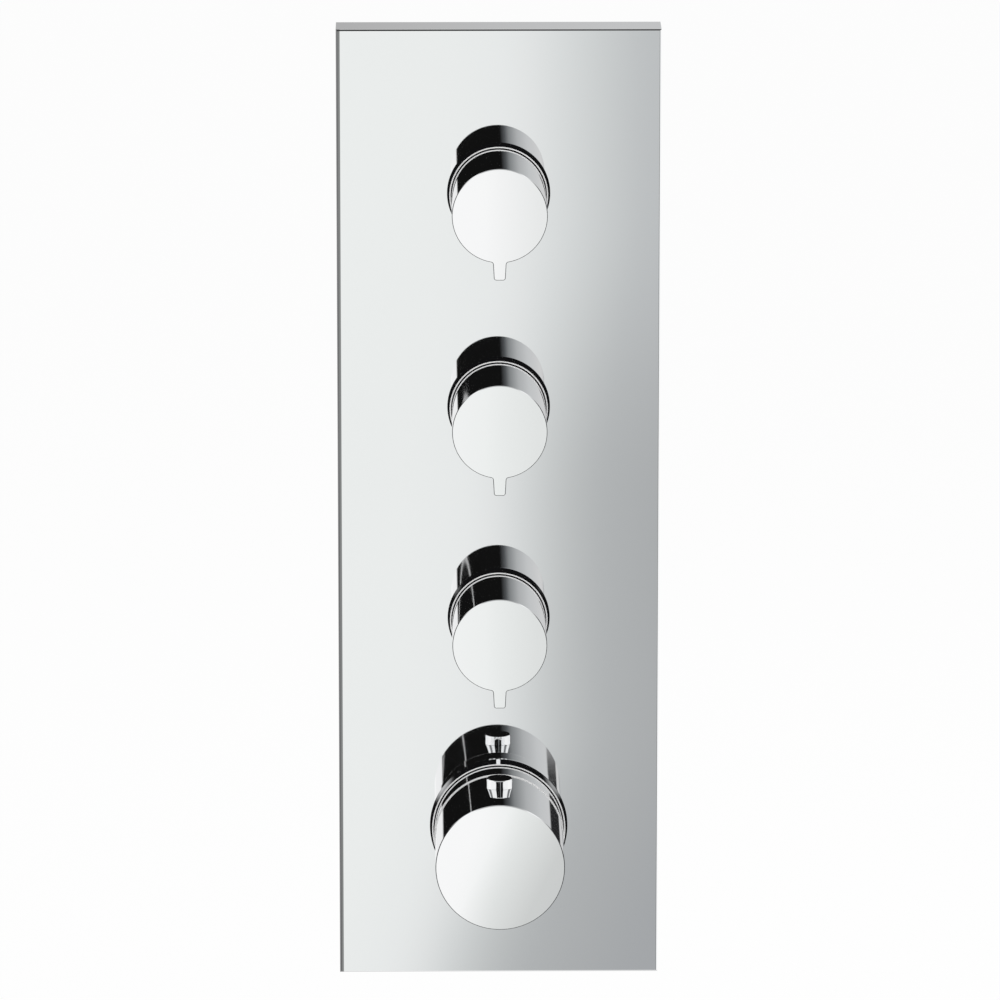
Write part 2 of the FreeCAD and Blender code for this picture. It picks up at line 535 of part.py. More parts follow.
def revolve(body, name, corners, kind="PartDesign::Revolution"):
    """Turn a closed half section, given as (radius, depth), about the body's Y axis."""
    sketch = outline(body, f"{name}_section", "XY_Plane", corners)
    turned = body.newObject(kind, f"{body.Name}_{name}")
    turned.Profile = (sketch, [""])
    turned.ReferenceAxis = (origin_part(body, "Y_Axis"), [""])
    turned.Angle = 360
    return turned


def bore(body, name, corners):
    """Take a turned section out of the body."""
    return cut_checked(body, lambda: revolve(body, name, corners, "PartDesign::Groove"))


def extrude(body, name, sketch, length, backwards=False, midplane=False, cut=False):
    """Pad or pocket a sketch, from its plane or to both sides of it."""
    kind = "PartDesign::Pocket" if cut else "PartDesign::Pad"
    made = body.newObject(kind, f"{body.Name}_{name}")
    made.Profile = (sketch, [""])
    made.Reversed = backwards
    made.Midplane = midplane
    made.setExpression("Length", bound(length))
    return made


def cut_checked(body, make):
    """Make a cut and make sure that it took something away."""
    doc.recompute()
    before = body.Shape.Volume
    made = make()
    doc.recompute()
    if not body.Shape.Volume < before - 1e-6:
        raise RuntimeError(f"{made.Label} cuts nothing")
    return made


def pocket(body, name, sketch, length, backwards=False, midplane=False):
    return cut_checked(body, lambda: extrude(body, name, sketch, length, backwards, midplane, cut=True))


def round_edges(body, name, radius, chosen):
    """Fillet the edges of the body's last feature that the test picks."""
    doc.recompute()
    base = body.Tip
    names = [f"Edge{k}" for k, edge in enumerate(base.Shape.Edges, start=1) if chosen(edge)]
    if not names:
        raise RuntimeError(f"{body.Label} has no edge for {name}")
    fillet = body.newObject("PartDesign::Fillet", f"{body.Name}_{name}")
    fillet.Base = (base, names)
    fillet.setExpression("Radius", bound(radius))
    return fillet


def bevel_edges(body, name, size, chosen):
    """Chamfer the edges of the body's last feature that the test picks."""
    doc.recompute()
    base = body.Tip
    names = [f"Edge{k}" for k, edge in enumerate(base.Shape.Edges, start=1) if chosen(edge)]
    if not names:
        raise RuntimeError(f"{body.Label} has no edge for {name}")
    chamfer = body.newObject("PartDesign::Chamfer", f"{body.Name}_{name}")
    chamfer.Base = (base, names)
    chamfer.setExpression("Size", bound(size))
    return chamfer


def edge_at_depth(edge, depth):
    """Does the edge lie all at that depth?"""
    return abs(edge.BoundBox.YMin - depth) < 1e-4 and abs(edge.BoundBox.YMax - depth) < 1e-4


def farthest(edge):
    """The greatest distance of the edge's ends from the body's Y axis."""
    return max(math.hypot(vertex.X, vertex.Z) for vertex in edge.Vertexes)


def rod(name, axis, radius, length, at):
    """A cylinder that runs along an axis from a point."""
    solid = doc.addObject("Part::Cylinder", name)
    solid.setExpression("Radius", bound(radius))
    solid.setExpression("Height", bound(length))
    settle(solid, ALONG[axis], at)
    return solid


def block(name, sides, at):
    """A box with its lowest corner at a point."""
    solid = doc.addObject("Part::Box", name)
    for side, formula in zip(("Length", "Width", "Height"), sides):
        solid.setExpression(side, bound(formula))
    settle(solid, AS_DRAWN, at)
    return solid


def fused(name, solids):
    whole = doc.addObject("Part::MultiFuse", name)
    whole.Shapes = solids
    whole.Refine = True
    return whole


def difference(name, base, tools):
    left = doc.addObject("Part::Cut", name)
    left.Base = base
    left.Tool = fused(f"{name}_cuts", tools)
    left.Refine = True
    left.Label = name
    return left


def group(label, members):
    """Like pieces kept together as separate solids."""
    together = doc.addObject("Part::Compound", label)
    together.Links = members
    together.Label = label
    return together


def tube(label, inner, outer, start, end, at, turn=AS_DRAWN):
    """A plain turned ring or sleeve."""
    body = new_body(label, at, turn)
    revolve(body, "ring", [(inner, start), (outer, start), (outer, end), (inner, end)])
    return body


pieces = []


def keep(*made):
    pieces.extend(made)


# ---------------------------------------------------------------------------------------------------------
# Front plate, its gasket, and the frame and clips that carry it
# ---------------------------------------------------------------------------------------------------------
def front_plate():
    """A shallow tray, open to the wall, with a soft front edge and four round holes."""
    body = new_body("front_plate")
    half_width = "plate_width / 2"
    half_height = "plate_height / 2"
    face = outline(body, "face", "XZ_Plane",
                   rectangle(f"-{half_width}", half_width, f"-{half_height}", half_height))
    extrude(body, "slab", face, "plate_depth")
    front = number(PLATE_FACE)
    round_edges(body, "front_edge", "plate_edge_round", lambda edge: edge_at_depth(edge, front))
    inside_width = f"({half_width} - plate_side_wall)"
    inside_height = f"({half_height} - plate_side_wall)"
    inside = outline(body, "inside", "XZ_Plane",
                     rectangle(f"-{inside_width}", inside_width, f"-{inside_height}", inside_height))
    pocket(body, "hollow", inside, "plate_depth - plate_face_wall", backwards=True)
    rounds = [("0", axis, "stop_skirt_radius + hole_gap") for axis in STOP_AXES]
    rounds.append(("0", HEAT_AXIS, "heat_skirt_radius + hole_gap"))
    holes = circles(body, "holes", "XZ_Plane", rounds)
    pocket(body, "knob_holes", holes, "2 * plate_depth + 2", midplane=True)
    return body


def plate_gasket():
    """A foam ring that lies inside the plate's rim, against the wall."""
    body = new_body("plate_gasket")
    across = "(plate_width / 2 - plate_side_wall - fit_gap)"
    up = "(plate_height / 2 - plate_side_wall - fit_gap)"
    outside = outline(body, "outside", "XZ_Plane", rectangle(f"-{across}", across, f"-{up}", up))
    extrude(body, "strip", outside, "gasket_depth")
    inner_across = f"({across} - gasket_width)"
    inner_up = f"({up} - gasket_width)"
    inside = outline(body, "inside", "XZ_Plane",
                     rectangle(f"-{inner_across}", inner_across, f"-{inner_up}", inner_up))
    pocket(body, "opening", inside, "gasket_depth + 1", backwards=True)
    return body


def mounting_frame():
    """A flat frame on the wall with a lip all round, four screw holes and a window round each cartridge."""
    body = new_body("mounting_frame")
    across = "(frame_width / 2)"
    up = "(frame_height / 2)"
    base = outline(body, "base", "XZ_Plane", rectangle(f"-{across}", across, f"-{up}", up))
    extrude(body, "tray", base, "frame_thickness + frame_lip_height")
    inner_across = f"({across} - frame_lip_wall)"
    inner_up = f"({up} - frame_lip_wall)"
    inside = outline(body, "inside", "XZ_Plane",
                     rectangle(f"-{inner_across}", inner_across, f"-{inner_up}", inner_up),
                     depth="-frame_thickness")
    pocket(body, "hollow", inside, "frame_lip_height + 1", backwards=True)
    rounds = [("0", axis, "frame_stop_window") for axis in STOP_AXES]
    rounds.append(("0", HEAT_AXIS, "frame_heat_window"))
    for side in ("-frame_screw_x", "frame_screw_x"):
        for height in ("-frame_screw_z", "frame_screw_z"):
            rounds.append((side, height, "frame_screw_radius"))
    holes = circles(body, "holes", "XZ_Plane", rounds)
    pocket(body, "windows", holes, "4 * frame_thickness", midplane=True)
    return body


def plate_clip(name, height, turn):
    """A bent spring strip hooked over the frame's lip, which bows out to grip the plate's side."""
    body = new_body(name, ("0", "0", height), turn)
    lip_in = "(frame_width / 2 - frame_lip_wall)"
    lip_out = "(frame_width / 2)"
    lip_top = "(-frame_thickness - frame_lip_height)"
    bow = "(plate_width / 2 - plate_side_wall - clip_gap)"
    strip = outline(body, "strip", "XY_Plane", [
        (f"{lip_in} - clip_strip", f"{lip_top} + clip_hook"),
        (f"{lip_in} - clip_strip", f"{lip_top} - clip_strip"),
        (f"{lip_out} + clip_strip", f"{lip_top} - clip_strip"),
        (bow, "-clip_bow_depth"),
        (f"{bow} - 2 * clip_strip", "-clip_bow_depth + 3 * clip_strip"),
        (f"{bow} - 3 * clip_strip", "-clip_bow_depth + 2.5 * clip_strip"),
        (f"{bow} - 1.4 * clip_strip", "-clip_bow_depth + 0.2 * clip_strip"),
        (f"{lip_out} + 0.7 * clip_strip", lip_top),
        (lip_in, lip_top),
        (lip_in, f"{lip_top} + clip_hook"),
    ])
    extrude(body, "spring", strip, "clip_width", midplane=True)
    return body


def plate_clips():
    """Four clips, two each side."""
    half_turn = FreeCAD.Rotation(FreeCAD.Vector(0, 1, 0), 180)
    clips = []
    for level, height in (("upper", "clip_height"), ("lower", "-clip_height")):
        clips.append(plate_clip(f"{level}_right_clip", height, AS_DRAWN))
        clips.append(plate_clip(f"{level}_left_clip", height, half_turn))
    return group("plate_clips", clips)


# ---------------------------------------------------------------------------------------------------------
# Collars on the plate
# ---------------------------------------------------------------------------------------------------------
def collar(label, knob_radius, skirt_radius, thread_radius, axis):
    """A low flared cup round a knob's foot, with a threaded skirt through the plate's hole."""
    body = new_body(label, ("0", "0", axis))
    rim_top = "(-plate_depth - collar_height)"
    skirt_end = "(-plate_depth + collar_skirt_length)"
    skirt_inner = f"({thread_radius} + thread_gap)"
    well = f"({knob_radius} + collar_clearance)"
    revolve(body, "cup", [
        (f"{well} + collar_rim", rim_top),
        (f"{well} + collar_rim + collar_flare", PLATE_FACE),
        (skirt_radius, PLATE_FACE),
        (skirt_radius, skirt_end),
        (skirt_inner, skirt_end),
        (skirt_inner, COLLAR_FLOOR_FACE),
        (well, COLLAR_FLOOR_FACE),
        (well, rim_top),
    ])
    return body


def collar_seals():
    """Flat rubber rings on the skirts, behind the plate's face."""
    start = "(-plate_depth + plate_face_wall)"
    end = f"({start} + seal_thickness)"
    rings = []
    for place, axis in zip(STOP_PLACES, STOP_AXES):
        inner = "(stop_skirt_radius + fit_gap)"
        rings.append(tube(f"{place}_collar_seal", inner, f"{inner} + seal_width", start, end,
                          ("0", "0", axis)))
    inner = "(heat_skirt_radius + fit_gap)"
    rings.append(tube("thermostat_collar_seal", inner, f"{inner} + seal_width", start, end,
                      ("0", "0", HEAT_AXIS)))
    return group("collar_seals", rings)


# ---------------------------------------------------------------------------------------------------------
# Stop knobs and their adapters
# ---------------------------------------------------------------------------------------------------------
def stop_knob(place, axis):
    """A round cup with a flat face and, flush with the face, a finger tab that points down when closed."""
    body = new_body(f"{place}_knob", ("0", "0", axis))
    revolve(body, "shell", [
        ("0", KNOB_FACE),
        ("knob_radius", KNOB_FACE),
        ("knob_radius", KNOB_REAR),
        (KNOB_INNER, KNOB_REAR),
        (KNOB_INNER, KNOB_UNDERSIDE),
        ("0", KNOB_UNDERSIDE),
    ])
    root = "(knob_radius - knob_wall / 2)"
    tab = outline(body, "tab_outline", "XZ_Plane", [
        ("-tab_root_width / 2", f"-{root}"),
        ("-tab_end_width / 2", "-tab_reach"),
        ("tab_end_width / 2", "-tab_reach"),
        ("tab_root_width / 2", f"-{root}"),
    ], depth=KNOB_FACE)
    extrude(body, "tab", tab, "tab_depth", backwards=True)
    reach = number("tab_reach")
    radius = number("knob_radius")
    depth = number("tab_depth")

    def along_axis(edge):
        return abs(edge.BoundBox.YLength - depth) < 1e-3 and edge.BoundBox.ZMax < 0

    round_edges(body, "tab_corners", "tab_end_round",
                lambda edge: along_axis(edge) and abs(edge.BoundBox.ZMin + reach) < 1e-3)
    round_edges(body, "tab_root", "tab_root_round",
                lambda edge: along_axis(edge) and abs(farthest(edge) - radius) < 1e-3)
    face = number(KNOB_FACE)
    bevel_edges(body, "face_edge", "knob_face_bevel", lambda edge: edge_at_depth(edge, face))
    hole = circles(body, "screw_hole", "XY_Plane", [("0", SET_SCREW_DEPTH, "set_screw_radius + thread_gap")])
    pocket(body, "set_screw_hole", hole, "knob_radius + 1")
    return body


def knob_adapter(place, axis):
    """The moulded insert that carries the knob on its spindle: a splined hub, four ribs and a rear ring."""
    name = f"{place}_knob_adapter"
    body = new_body(name, ("0", "0", axis))
    outer = f"({KNOB_INNER} - fit_gap)"
    front = f"({KNOB_UNDERSIDE} + fit_gap)"
    ring_rear = f"({KNOB_REAR} - adapter_rear)"
    ring_front = f"({ring_rear} - adapter_ring_length)"
    revolve(body, "hub", [
        ("0", front),
        ("adapter_hub_radius", front),
        ("adapter_hub_radius", STOP_SPLINE_REAR),
        ("0", STOP_SPLINE_REAR),
    ])
    thin = "adapter_rib / 2"
    rib_reach = f"({outer} - adapter_ring_wall / 2)"
    cross = [
        (f"-{rib_reach}", f"-{thin}"), (f"-{thin}", f"-{thin}"), (f"-{thin}", f"-{rib_reach}"),
        (thin, f"-{rib_reach}"), (thin, f"-{thin}"), (rib_reach, f"-{thin}"),
        (rib_reach, thin), (thin, thin), (thin, rib_reach),
        (f"-{thin}", rib_reach), (f"-{thin}", thin), (f"-{rib_reach}", thin),
    ]
    diagonal = [(f"({across} - {up}) * {math.sqrt(0.5):.6f}", f"({across} + {up}) * {math.sqrt(0.5):.6f}")
                for across, up in cross]
    ribs = outline(body, "rib_outline", "XZ_Plane", diagonal, depth=front)
    extrude(body, "ribs", ribs, f"{ring_front} - {front} + adapter_rib", backwards=True)
    revolve(body, "ring", [
        (f"{outer} - adapter_ring_wall", ring_front),
        (outer, ring_front),
        (outer, ring_rear),
        (f"{outer} - adapter_ring_wall", ring_rear),
    ])
    teeth = star("stop_spindle_radius + fit_gap", "spline_tooth")
    splines = outline(body, "spline_outline", "XZ_Plane", teeth, depth=STOP_SPLINE_REAR)
    pocket(body, "spline_bore", splines, "stop_spline_length + fit_gap", backwards=True)
    hole = new_sketch(body, "screw_hole", "XY_Plane", None)
    hole.setExpression("AttachmentOffset.Base.z", bound("-adapter_hub_radius - fit_gap"))
    round_hole(hole, SET_SCREW_DEPTH, "set_screw_radius + thread_gap")
    pocket(body, "set_screw_hole", hole, "knob_radius")
    return body


def knob_screw(place, axis):
    """The socket set screw that holds the knob on its adapter, from below."""
    body = new_body(f"{place}_knob_screw", ("0", SET_SCREW_DEPTH, axis), DOWNWARD)
    outer = "(knob_radius - set_screw_sink)"
    tip = "(adapter_hub_radius + fit_gap)"
    revolve(body, "shank", [("0", tip), ("set_screw_radius", tip), ("set_screw_radius", outer), ("0", outer)])
    key = outline(body, "key", "XZ_Plane", hexagon("set_screw_key"), depth=outer)
    pocket(body, "socket", key, "set_screw_key_depth", backwards=True)
    return body


# ---------------------------------------------------------------------------------------------------------
# Stop cartridges: quarter-turn ceramic headworks
# ---------------------------------------------------------------------------------------------------------
def stop_cartridge(place, axis):
    """The brass headwork: threaded neck, hexagon, thread, and a barrel with two side windows."""
    body = new_body(f"{place}_stop_cartridge", ("0", "0", axis))
    thread_radius = "(stop_bore_radius - thread_gap)"
    thread_end = "(stop_boss_front + stop_thread_length)"
    barrel_end = "(stop_seat_depth - barrel_clearance)"
    hex_front = "(stop_boss_front - hex_thickness)"
    revolve(body, "turning", [
        ("0", "-neck_front"),
        ("neck_radius", "-neck_front"),
        ("neck_radius", "stop_boss_front"),
        (thread_radius, "stop_boss_front"),
        (thread_radius, thread_end),
        ("barrel_radius", thread_end),
        ("barrel_radius", barrel_end),
        ("0", barrel_end),
    ])
    flats = outline(body, "hex_outline", "XZ_Plane", polygon("hex_circumradius", HEX_SIDES), depth=hex_front)
    extrude(body, "hexagon", flats, "hex_thickness", backwards=True)
    bearing = "(stop_spindle_radius + thread_gap)"
    bore(body, "inside", [
        ("0", "-neck_front - 1"),
        (bearing, "-neck_front - 1"),
        (bearing, DISC_CAVITY_FRONT),
        ("disc_cavity_radius", DISC_CAVITY_FRONT),
        ("disc_cavity_radius", f"{barrel_end} + 1"),
        ("0", f"{barrel_end} + 1"),
    ])
    window = outline(body, "window_outline", "XY_Plane", rectangle(
        "-driver_radius * 0.8", "driver_radius * 0.8", MOVING_DISC_FRONT, DISC_JOINT))
    pocket(body, "windows", window, "2 * barrel_radius + 2", midplane=True)
    return body


def stop_spindle(place, axis):
    """The spindle: splined front end, long shank, and a driving flange with a dog across it."""
    body = new_body(f"{place}_stop_spindle", ("0", "0", axis))
    revolve(body, "shank", [
        ("0", STOP_SPLINE_REAR),
        ("stop_spindle_radius", STOP_SPLINE_REAR),
        ("stop_spindle_radius", DRIVER_FRONT),
        ("driver_radius", DRIVER_FRONT),
        ("driver_radius", MOVING_DISC_FRONT),
        ("0", MOVING_DISC_FRONT),
    ])
    splines = outline(body, "spline_outline", "XZ_Plane", star("stop_spindle_radius", "spline_tooth"),
                      depth=STOP_SPLINE_REAR)
    extrude(body, "splines", splines, "stop_spline_length")
    dog = outline(body, "dog_outline", "XZ_Plane", rectangle(
        "-dog_length / 2", "dog_length / 2", "-dog_width / 2", "dog_width / 2"), depth=MOVING_DISC_FRONT)
    extrude(body, "dog", dog, "dog_height", backwards=True)
    return body


def moving_disc(place, axis):
    """The turning ceramic disc: a groove for the dog in front, two open notches that carry the water."""
    body = new_body(f"{place}_moving_disc", ("0", "0", axis))
    radius = "(disc_radius - fit_gap)"
    revolve(body, "disc", [("0", MOVING_DISC_FRONT), (radius, MOVING_DISC_FRONT), (radius, DISC_JOINT),
                           ("0", DISC_JOINT)])
    groove = outline(body, "dog_groove_outline", "XZ_Plane", rectangle(
        "-dog_length / 2 - fit_gap", "dog_length / 2 + fit_gap",
        "-dog_width / 2 - fit_gap", "dog_width / 2 + fit_gap"), depth=MOVING_DISC_FRONT)
    pocket(body, "dog_groove", groove, "dog_height + fit_gap")
    for side, sign in (("upper", ""), ("lower", "-")):
        notch = outline(body, f"{side}_notch_outline", "XZ_Plane", port_corners(
            sign, "disc_port_inner", "(disc_radius + 1)", "disc_port_half"), depth=DISC_JOINT)
        pocket(body, f"{side}_notch", notch, "moving_disc_thickness + 1", backwards=True)
    return body


def fixed_discs():
    """The three fixed ceramic discs, each with two round ports that the turning disc covers when closed."""
    discs = []
    for place, axis in zip(STOP_PLACES, STOP_AXES):
        body = new_body(f"{place}_fixed_disc", ("0", "0", axis))
        revolve(body, "disc", [("0", DISC_JOINT), ("disc_radius", DISC_JOINT),
                               ("disc_radius", FIXED_DISC_REAR), ("0", FIXED_DISC_REAR)])
        for side, sign in (("left", "-"), ("right", "")):
            port = outline(body, f"{side}_port_outline", "XZ_Plane", [
                (across, up) for up, across in port_corners(
                    sign, "disc_port_inner", "disc_port_outer", "disc_port_half")], depth=DISC_JOINT)
            pocket(body, f"{side}_port", port, "fixed_disc_thickness + 1")
        discs.append(body)
    return group("fixed_discs", discs)


def seat_seals():
    """The rubber rings that press each fixed disc's back against the seat in the body."""
    outer = "disc_radius"
    rings = [
        tube(f"{place}_seat_seal", f"{outer} - seat_seal_wall", outer, FIXED_DISC_REAR, "stop_seat_depth",
             ("0", "0", axis))
        for place, axis in zip(STOP_PLACES, STOP_AXES)
    ]
    return group("seat_seals", rings)


def cartridge_rings():
    """The sealing rings behind the threads of the stop cartridges."""
    start = "(stop_boss_front + stop_thread_length)"
    rings = [
        tube(f"{place}_cartridge_ring", "barrel_radius", "barrel_radius + ring_section", start,
             f"{start} + ring_section", ("0", "0", axis))
        for place, axis in zip(STOP_PLACES, STOP_AXES)
    ]
    return group("cartridge_rings", rings)


# ---------------------------------------------------------------------------------------------------------
# Thermostat knob, fixed sleeve, safety button
# ---------------------------------------------------------------------------------------------------------
def thermostat_sleeve():
    """The fixed chrome sleeve between the collar and the split, with a floor round the cartridge's neck."""
    body = new_body("thermostat_sleeve", ("0", "0", HEAT_AXIS))
    revolve(body, "sleeve", [
        (SLEEVE_RADIUS, SPLIT_REAR),
        (SLEEVE_RADIUS, SLEEVE_REAR),
        ("housing_neck_radius + fit_gap", SLEEVE_REAR),
        ("housing_neck_radius + fit_gap", SLEEVE_FLOOR_FACE),
        (HANDLE_INNER, SLEEVE_FLOOR_FACE),
        (HANDLE_INNER, SPLIT_REAR),
    ])
    return body


def thermostat_handle():
    """The turning chrome cup with a hole for the safety button in its top."""
    body = new_body("thermostat_handle", ("0", "0", HEAT_AXIS))
    revolve(body, "shell", [
        ("0", HANDLE_FACE),
        ("handle_radius", HANDLE_FACE),
        ("handle_radius", SPLIT_FRONT),
        (HANDLE_INNER, SPLIT_FRONT),
        (HANDLE_INNER, HANDLE_UNDERSIDE),
        ("0", HANDLE_UNDERSIDE),
    ])
    face = number(HANDLE_FACE)
    bevel_edges(body, "face_edge", "handle_face_bevel", lambda edge: edge_at_depth(edge, face))
    hole = circles(body, "button_outline", "XY_Plane", [("0", BUTTON_DEPTH, "button_radius + fit_gap")])
    pocket(body, "button_hole", hole, "handle_radius + 1", backwards=True)
    return body


def button_guide():
    """A moulded ring in the knob with a stepped pocket that guides the button and floors its spring."""
    body = new_body("button_guide", ("0", "0", HEAT_AXIS))
    outer = f"({HANDLE_INNER} - fit_gap)"
    revolve(body, "ring", [
        ("guide_inner_radius", GUIDE_FRONT),
        (outer, GUIDE_FRONT),
        (outer, GUIDE_REAR),
        ("guide_inner_radius", GUIDE_REAR),
    ])
    wide = new_sketch(body, "wide_outline", "XY_Plane", None)
    wide.setExpression("AttachmentOffset.Base.z", bound(GUIDE_FLOOR_TOP))
    round_hole(wide, BUTTON_DEPTH, "button_flange_radius + 2 * fit_gap")
    pocket(body, "flange_pocket", wide, "handle_radius", backwards=True)
    narrow = circles(body, "narrow_outline", "XY_Plane",
                     [("0", BUTTON_DEPTH, "button_stem_radius + fit_gap")])
    pocket(body, "stem_hole", narrow, "handle_radius", backwards=True)
    return body


def safety_button():
    """The button: a short post with a spring cavity, a keeping flange and a central stem."""
    body = new_body("safety_button", ("0", BUTTON_DEPTH, HEAT_AXIS), UPWARD)
    flange_bottom = f"({BUTTON_FLANGE_TOP} - button_flange_thickness)"
    revolve(body, "post", [
        ("0", "button_stem_tip"),
        ("button_stem_radius", "button_stem_tip"),
        ("button_stem_radius", BUTTON_CAVITY_TOP),
        ("button_cavity_radius", BUTTON_CAVITY_TOP),
        ("button_cavity_radius", flange_bottom),
        ("button_flange_radius", flange_bottom),
        ("button_flange_radius", BUTTON_FLANGE_TOP),
        ("button_radius", BUTTON_FLANGE_TOP),
        ("button_radius", BUTTON_END),
        ("0", BUTTON_END),
    ])
    end = number(BUTTON_END)
    bevel_edges(body, "end_edge", "button_end_bevel", lambda edge: edge_at_depth(edge, end))
    return body


def button_spring():
    """The coil spring under the button, as the sleeve that its coils fill."""
    return tube("button_spring", "button_spring_inner", "button_spring_outer", GUIDE_FLOOR_TOP,
                BUTTON_CAVITY_TOP, ("0", BUTTON_DEPTH, HEAT_AXIS), UPWARD)


def handle_carrier():
    """The moulded insert that joins the knob to the regulating spindle: hub, web, ribs and rim."""
    body = new_body("handle_carrier", ("0", "0", HEAT_AXIS))
    outer = f"({HANDLE_INNER} - fit_gap)"
    rim_inner = f"({outer} - carrier_rim_wall)"
    front = f"({HANDLE_UNDERSIDE} + fit_gap)"
    web_front = f"({GUIDE_FRONT} - carrier_web)"
    hub_front = f"({HEAT_SPINDLE_FRONT} - carrier_seat)"
    revolve(body, "hub", [
        ("0", hub_front),
        ("carrier_hub_radius", hub_front),
        ("carrier_hub_radius", web_front),
        (rim_inner, web_front),
        (rim_inner, front),
        (outer, front),
        (outer, GUIDE_FRONT),
        ("carrier_hub_radius", GUIDE_FRONT),
        ("carrier_hub_radius", f"{HEAT_SPLINE_REAR}"),
        ("0", f"{HEAT_SPLINE_REAR}"),
    ])
    thin = "carrier_rib / 2"
    reach = f"({rim_inner} + carrier_rim_wall / 2)"
    for name, corners in (
        ("level", rectangle(f"-{reach}", reach, f"-{thin}", thin)),
        ("upright", rectangle(f"-{thin}", thin, f"-{reach}", reach)),
    ):
        rib = outline(body, f"{name}_rib_outline", "XZ_Plane", corners, depth=web_front)
        extrude(body, f"{name}_ribs", rib, f"{web_front} - {hub_front}")
    teeth = star("heat_spindle_radius + fit_gap", "spline_tooth")
    splines = outline(body, "spline_outline", "XZ_Plane", teeth, depth=HEAT_SPLINE_REAR)
    pocket(body, "spline_bore", splines, "heat_spline_length", backwards=True)
    hole = circles(body, "screw_hole_outline", "XZ_Plane", [("0", "0", "screw_bore_radius + fit_gap")],
                   depth=HEAT_SPINDLE_FRONT)
    pocket(body, "screw_hole", hole, "carrier_seat + 1", backwards=True)
    return body


def handle_screw():
    """The socket head screw that holds the carrier on the regulating spindle."""
    body = new_body("handle_screw", ("0", "0", HEAT_AXIS))
    seat = f"({HEAT_SPINDLE_FRONT} - carrier_seat)"
    top = f"({seat} - screw_head_height)"
    revolve(body, "screw", [
        ("0", top),
        ("screw_head_radius", top),
        ("screw_head_radius", seat),
        ("screw_radius", seat),
        ("screw_radius", f"{seat} + screw_length"),
        ("0", f"{seat} + screw_length"),
    ])
    key = outline(body, "key", "XZ_Plane", hexagon("screw_key"), depth=top)
    pocket(body, "socket", key, "screw_head_height * 0.6")
    return body


def stop_ring():
    """The fixed temperature stop: a tube on the cartridge's neck with the lug that meets the stem."""
    body = new_body("temperature_stop", ("0", "0", HEAT_AXIS))
    inner = "(housing_neck_radius + fit_gap)"
    lug_front = f"({BUTTON_DEPTH} + button_stem_radius + lug_gap)"
    revolve(body, "tube", [
        (inner, "-stop_ring_front"),
        ("stop_ring_radius", "-stop_ring_front"),
        ("stop_ring_radius", SLEEVE_FLOOR_FACE),
        (inner, SLEEVE_FLOOR_FACE),
    ])
    # The lug stands on the hot side of the stem. It ends lug_gap short of the stem's path.
    lug = outline(body, "lug_outline", "XZ_Plane", rectangle(
        "-lug_near - lug_width", "-lug_near", f"{inner} + 0.4", "lug_reach"), depth=lug_front)
    extrude(body, "lug", lug, "lug_length", backwards=True)
    return body


# ---------------------------------------------------------------------------------------------------------
# Thermostat cartridge
# ---------------------------------------------------------------------------------------------------------
def thermostat_housing():
    """The cartridge: neck, flange on the body's shoulder, barrel with ring grooves, cold and hot windows."""
    body = new_body("thermostat_housing", ("0", "0", HEAT_AXIS))
    flange_front = "(heat_shoulder_depth - housing_flange)"
    section = [
        ("0", "-housing_neck_front"),
        ("housing_neck_radius", "-housing_neck_front"),
        ("housing_neck_radius", flange_front),
        ("housing_flange_radius", flange_front),
        ("housing_flange_radius", "heat_shoulder_depth"),
        ("housing_radius", "heat_shoulder_depth"),
    ]
    for groove in ("front_groove_depth", "middle_groove_depth", "rear_groove_depth"):
        section += [
            ("housing_radius", groove),
            ("groove_floor_radius", groove),
            ("groove_floor_radius", f"{groove} + groove_width"),
            ("housing_radius", f"{groove} + groove_width"),
        ]
    section += [("housing_radius", "housing_rear"), ("0", "housing_rear")]
    revolve(body, "turning", section)
    bearing = "(heat_spindle_radius + thread_gap)"
    bore(body, "inside", [
        ("0", "-housing_neck_front - 1"),
        ("housing_recess_radius", "-housing_neck_front - 1"),
        ("housing_recess_radius", "-housing_recess_floor"),
        (bearing, "-housing_recess_floor"),
        (bearing, "nut_chamber_front"),
        ("nut_chamber_radius", "nut_chamber_front"),
        ("nut_chamber_radius", "cold_seat_depth"),
        ("shuttle_bore_radius", "cold_seat_depth"),
        ("shuttle_bore_radius", "housing_rear + 1"),
        ("0", "housing_rear + 1"),
    ])
    keyway = outline(body, "keyway_outline", "XY_Plane", rectangle(
        "-nut_key_reach - fit_gap", "nut_key_reach + fit_gap", "nut_chamber_front", "cold_seat_depth"))
    pocket(body, "keyways", keyway, "nut_key_width + 2 * fit_gap", midplane=True)
    for water in ("cold", "hot"):
        middle = f"{water}_window_depth"
        # on this plane the first direction runs along the cartridge
        window = outline(body, f"{water}_window_outline", "YZ_Plane", rectangle(
            f"{middle} - window_length / 2", f"{middle} + window_length / 2",
            "-window_half_width", "window_half_width"))
        pocket(body, f"{water}_windows", window, "2 * housing_radius + 2", midplane=True)
    return body


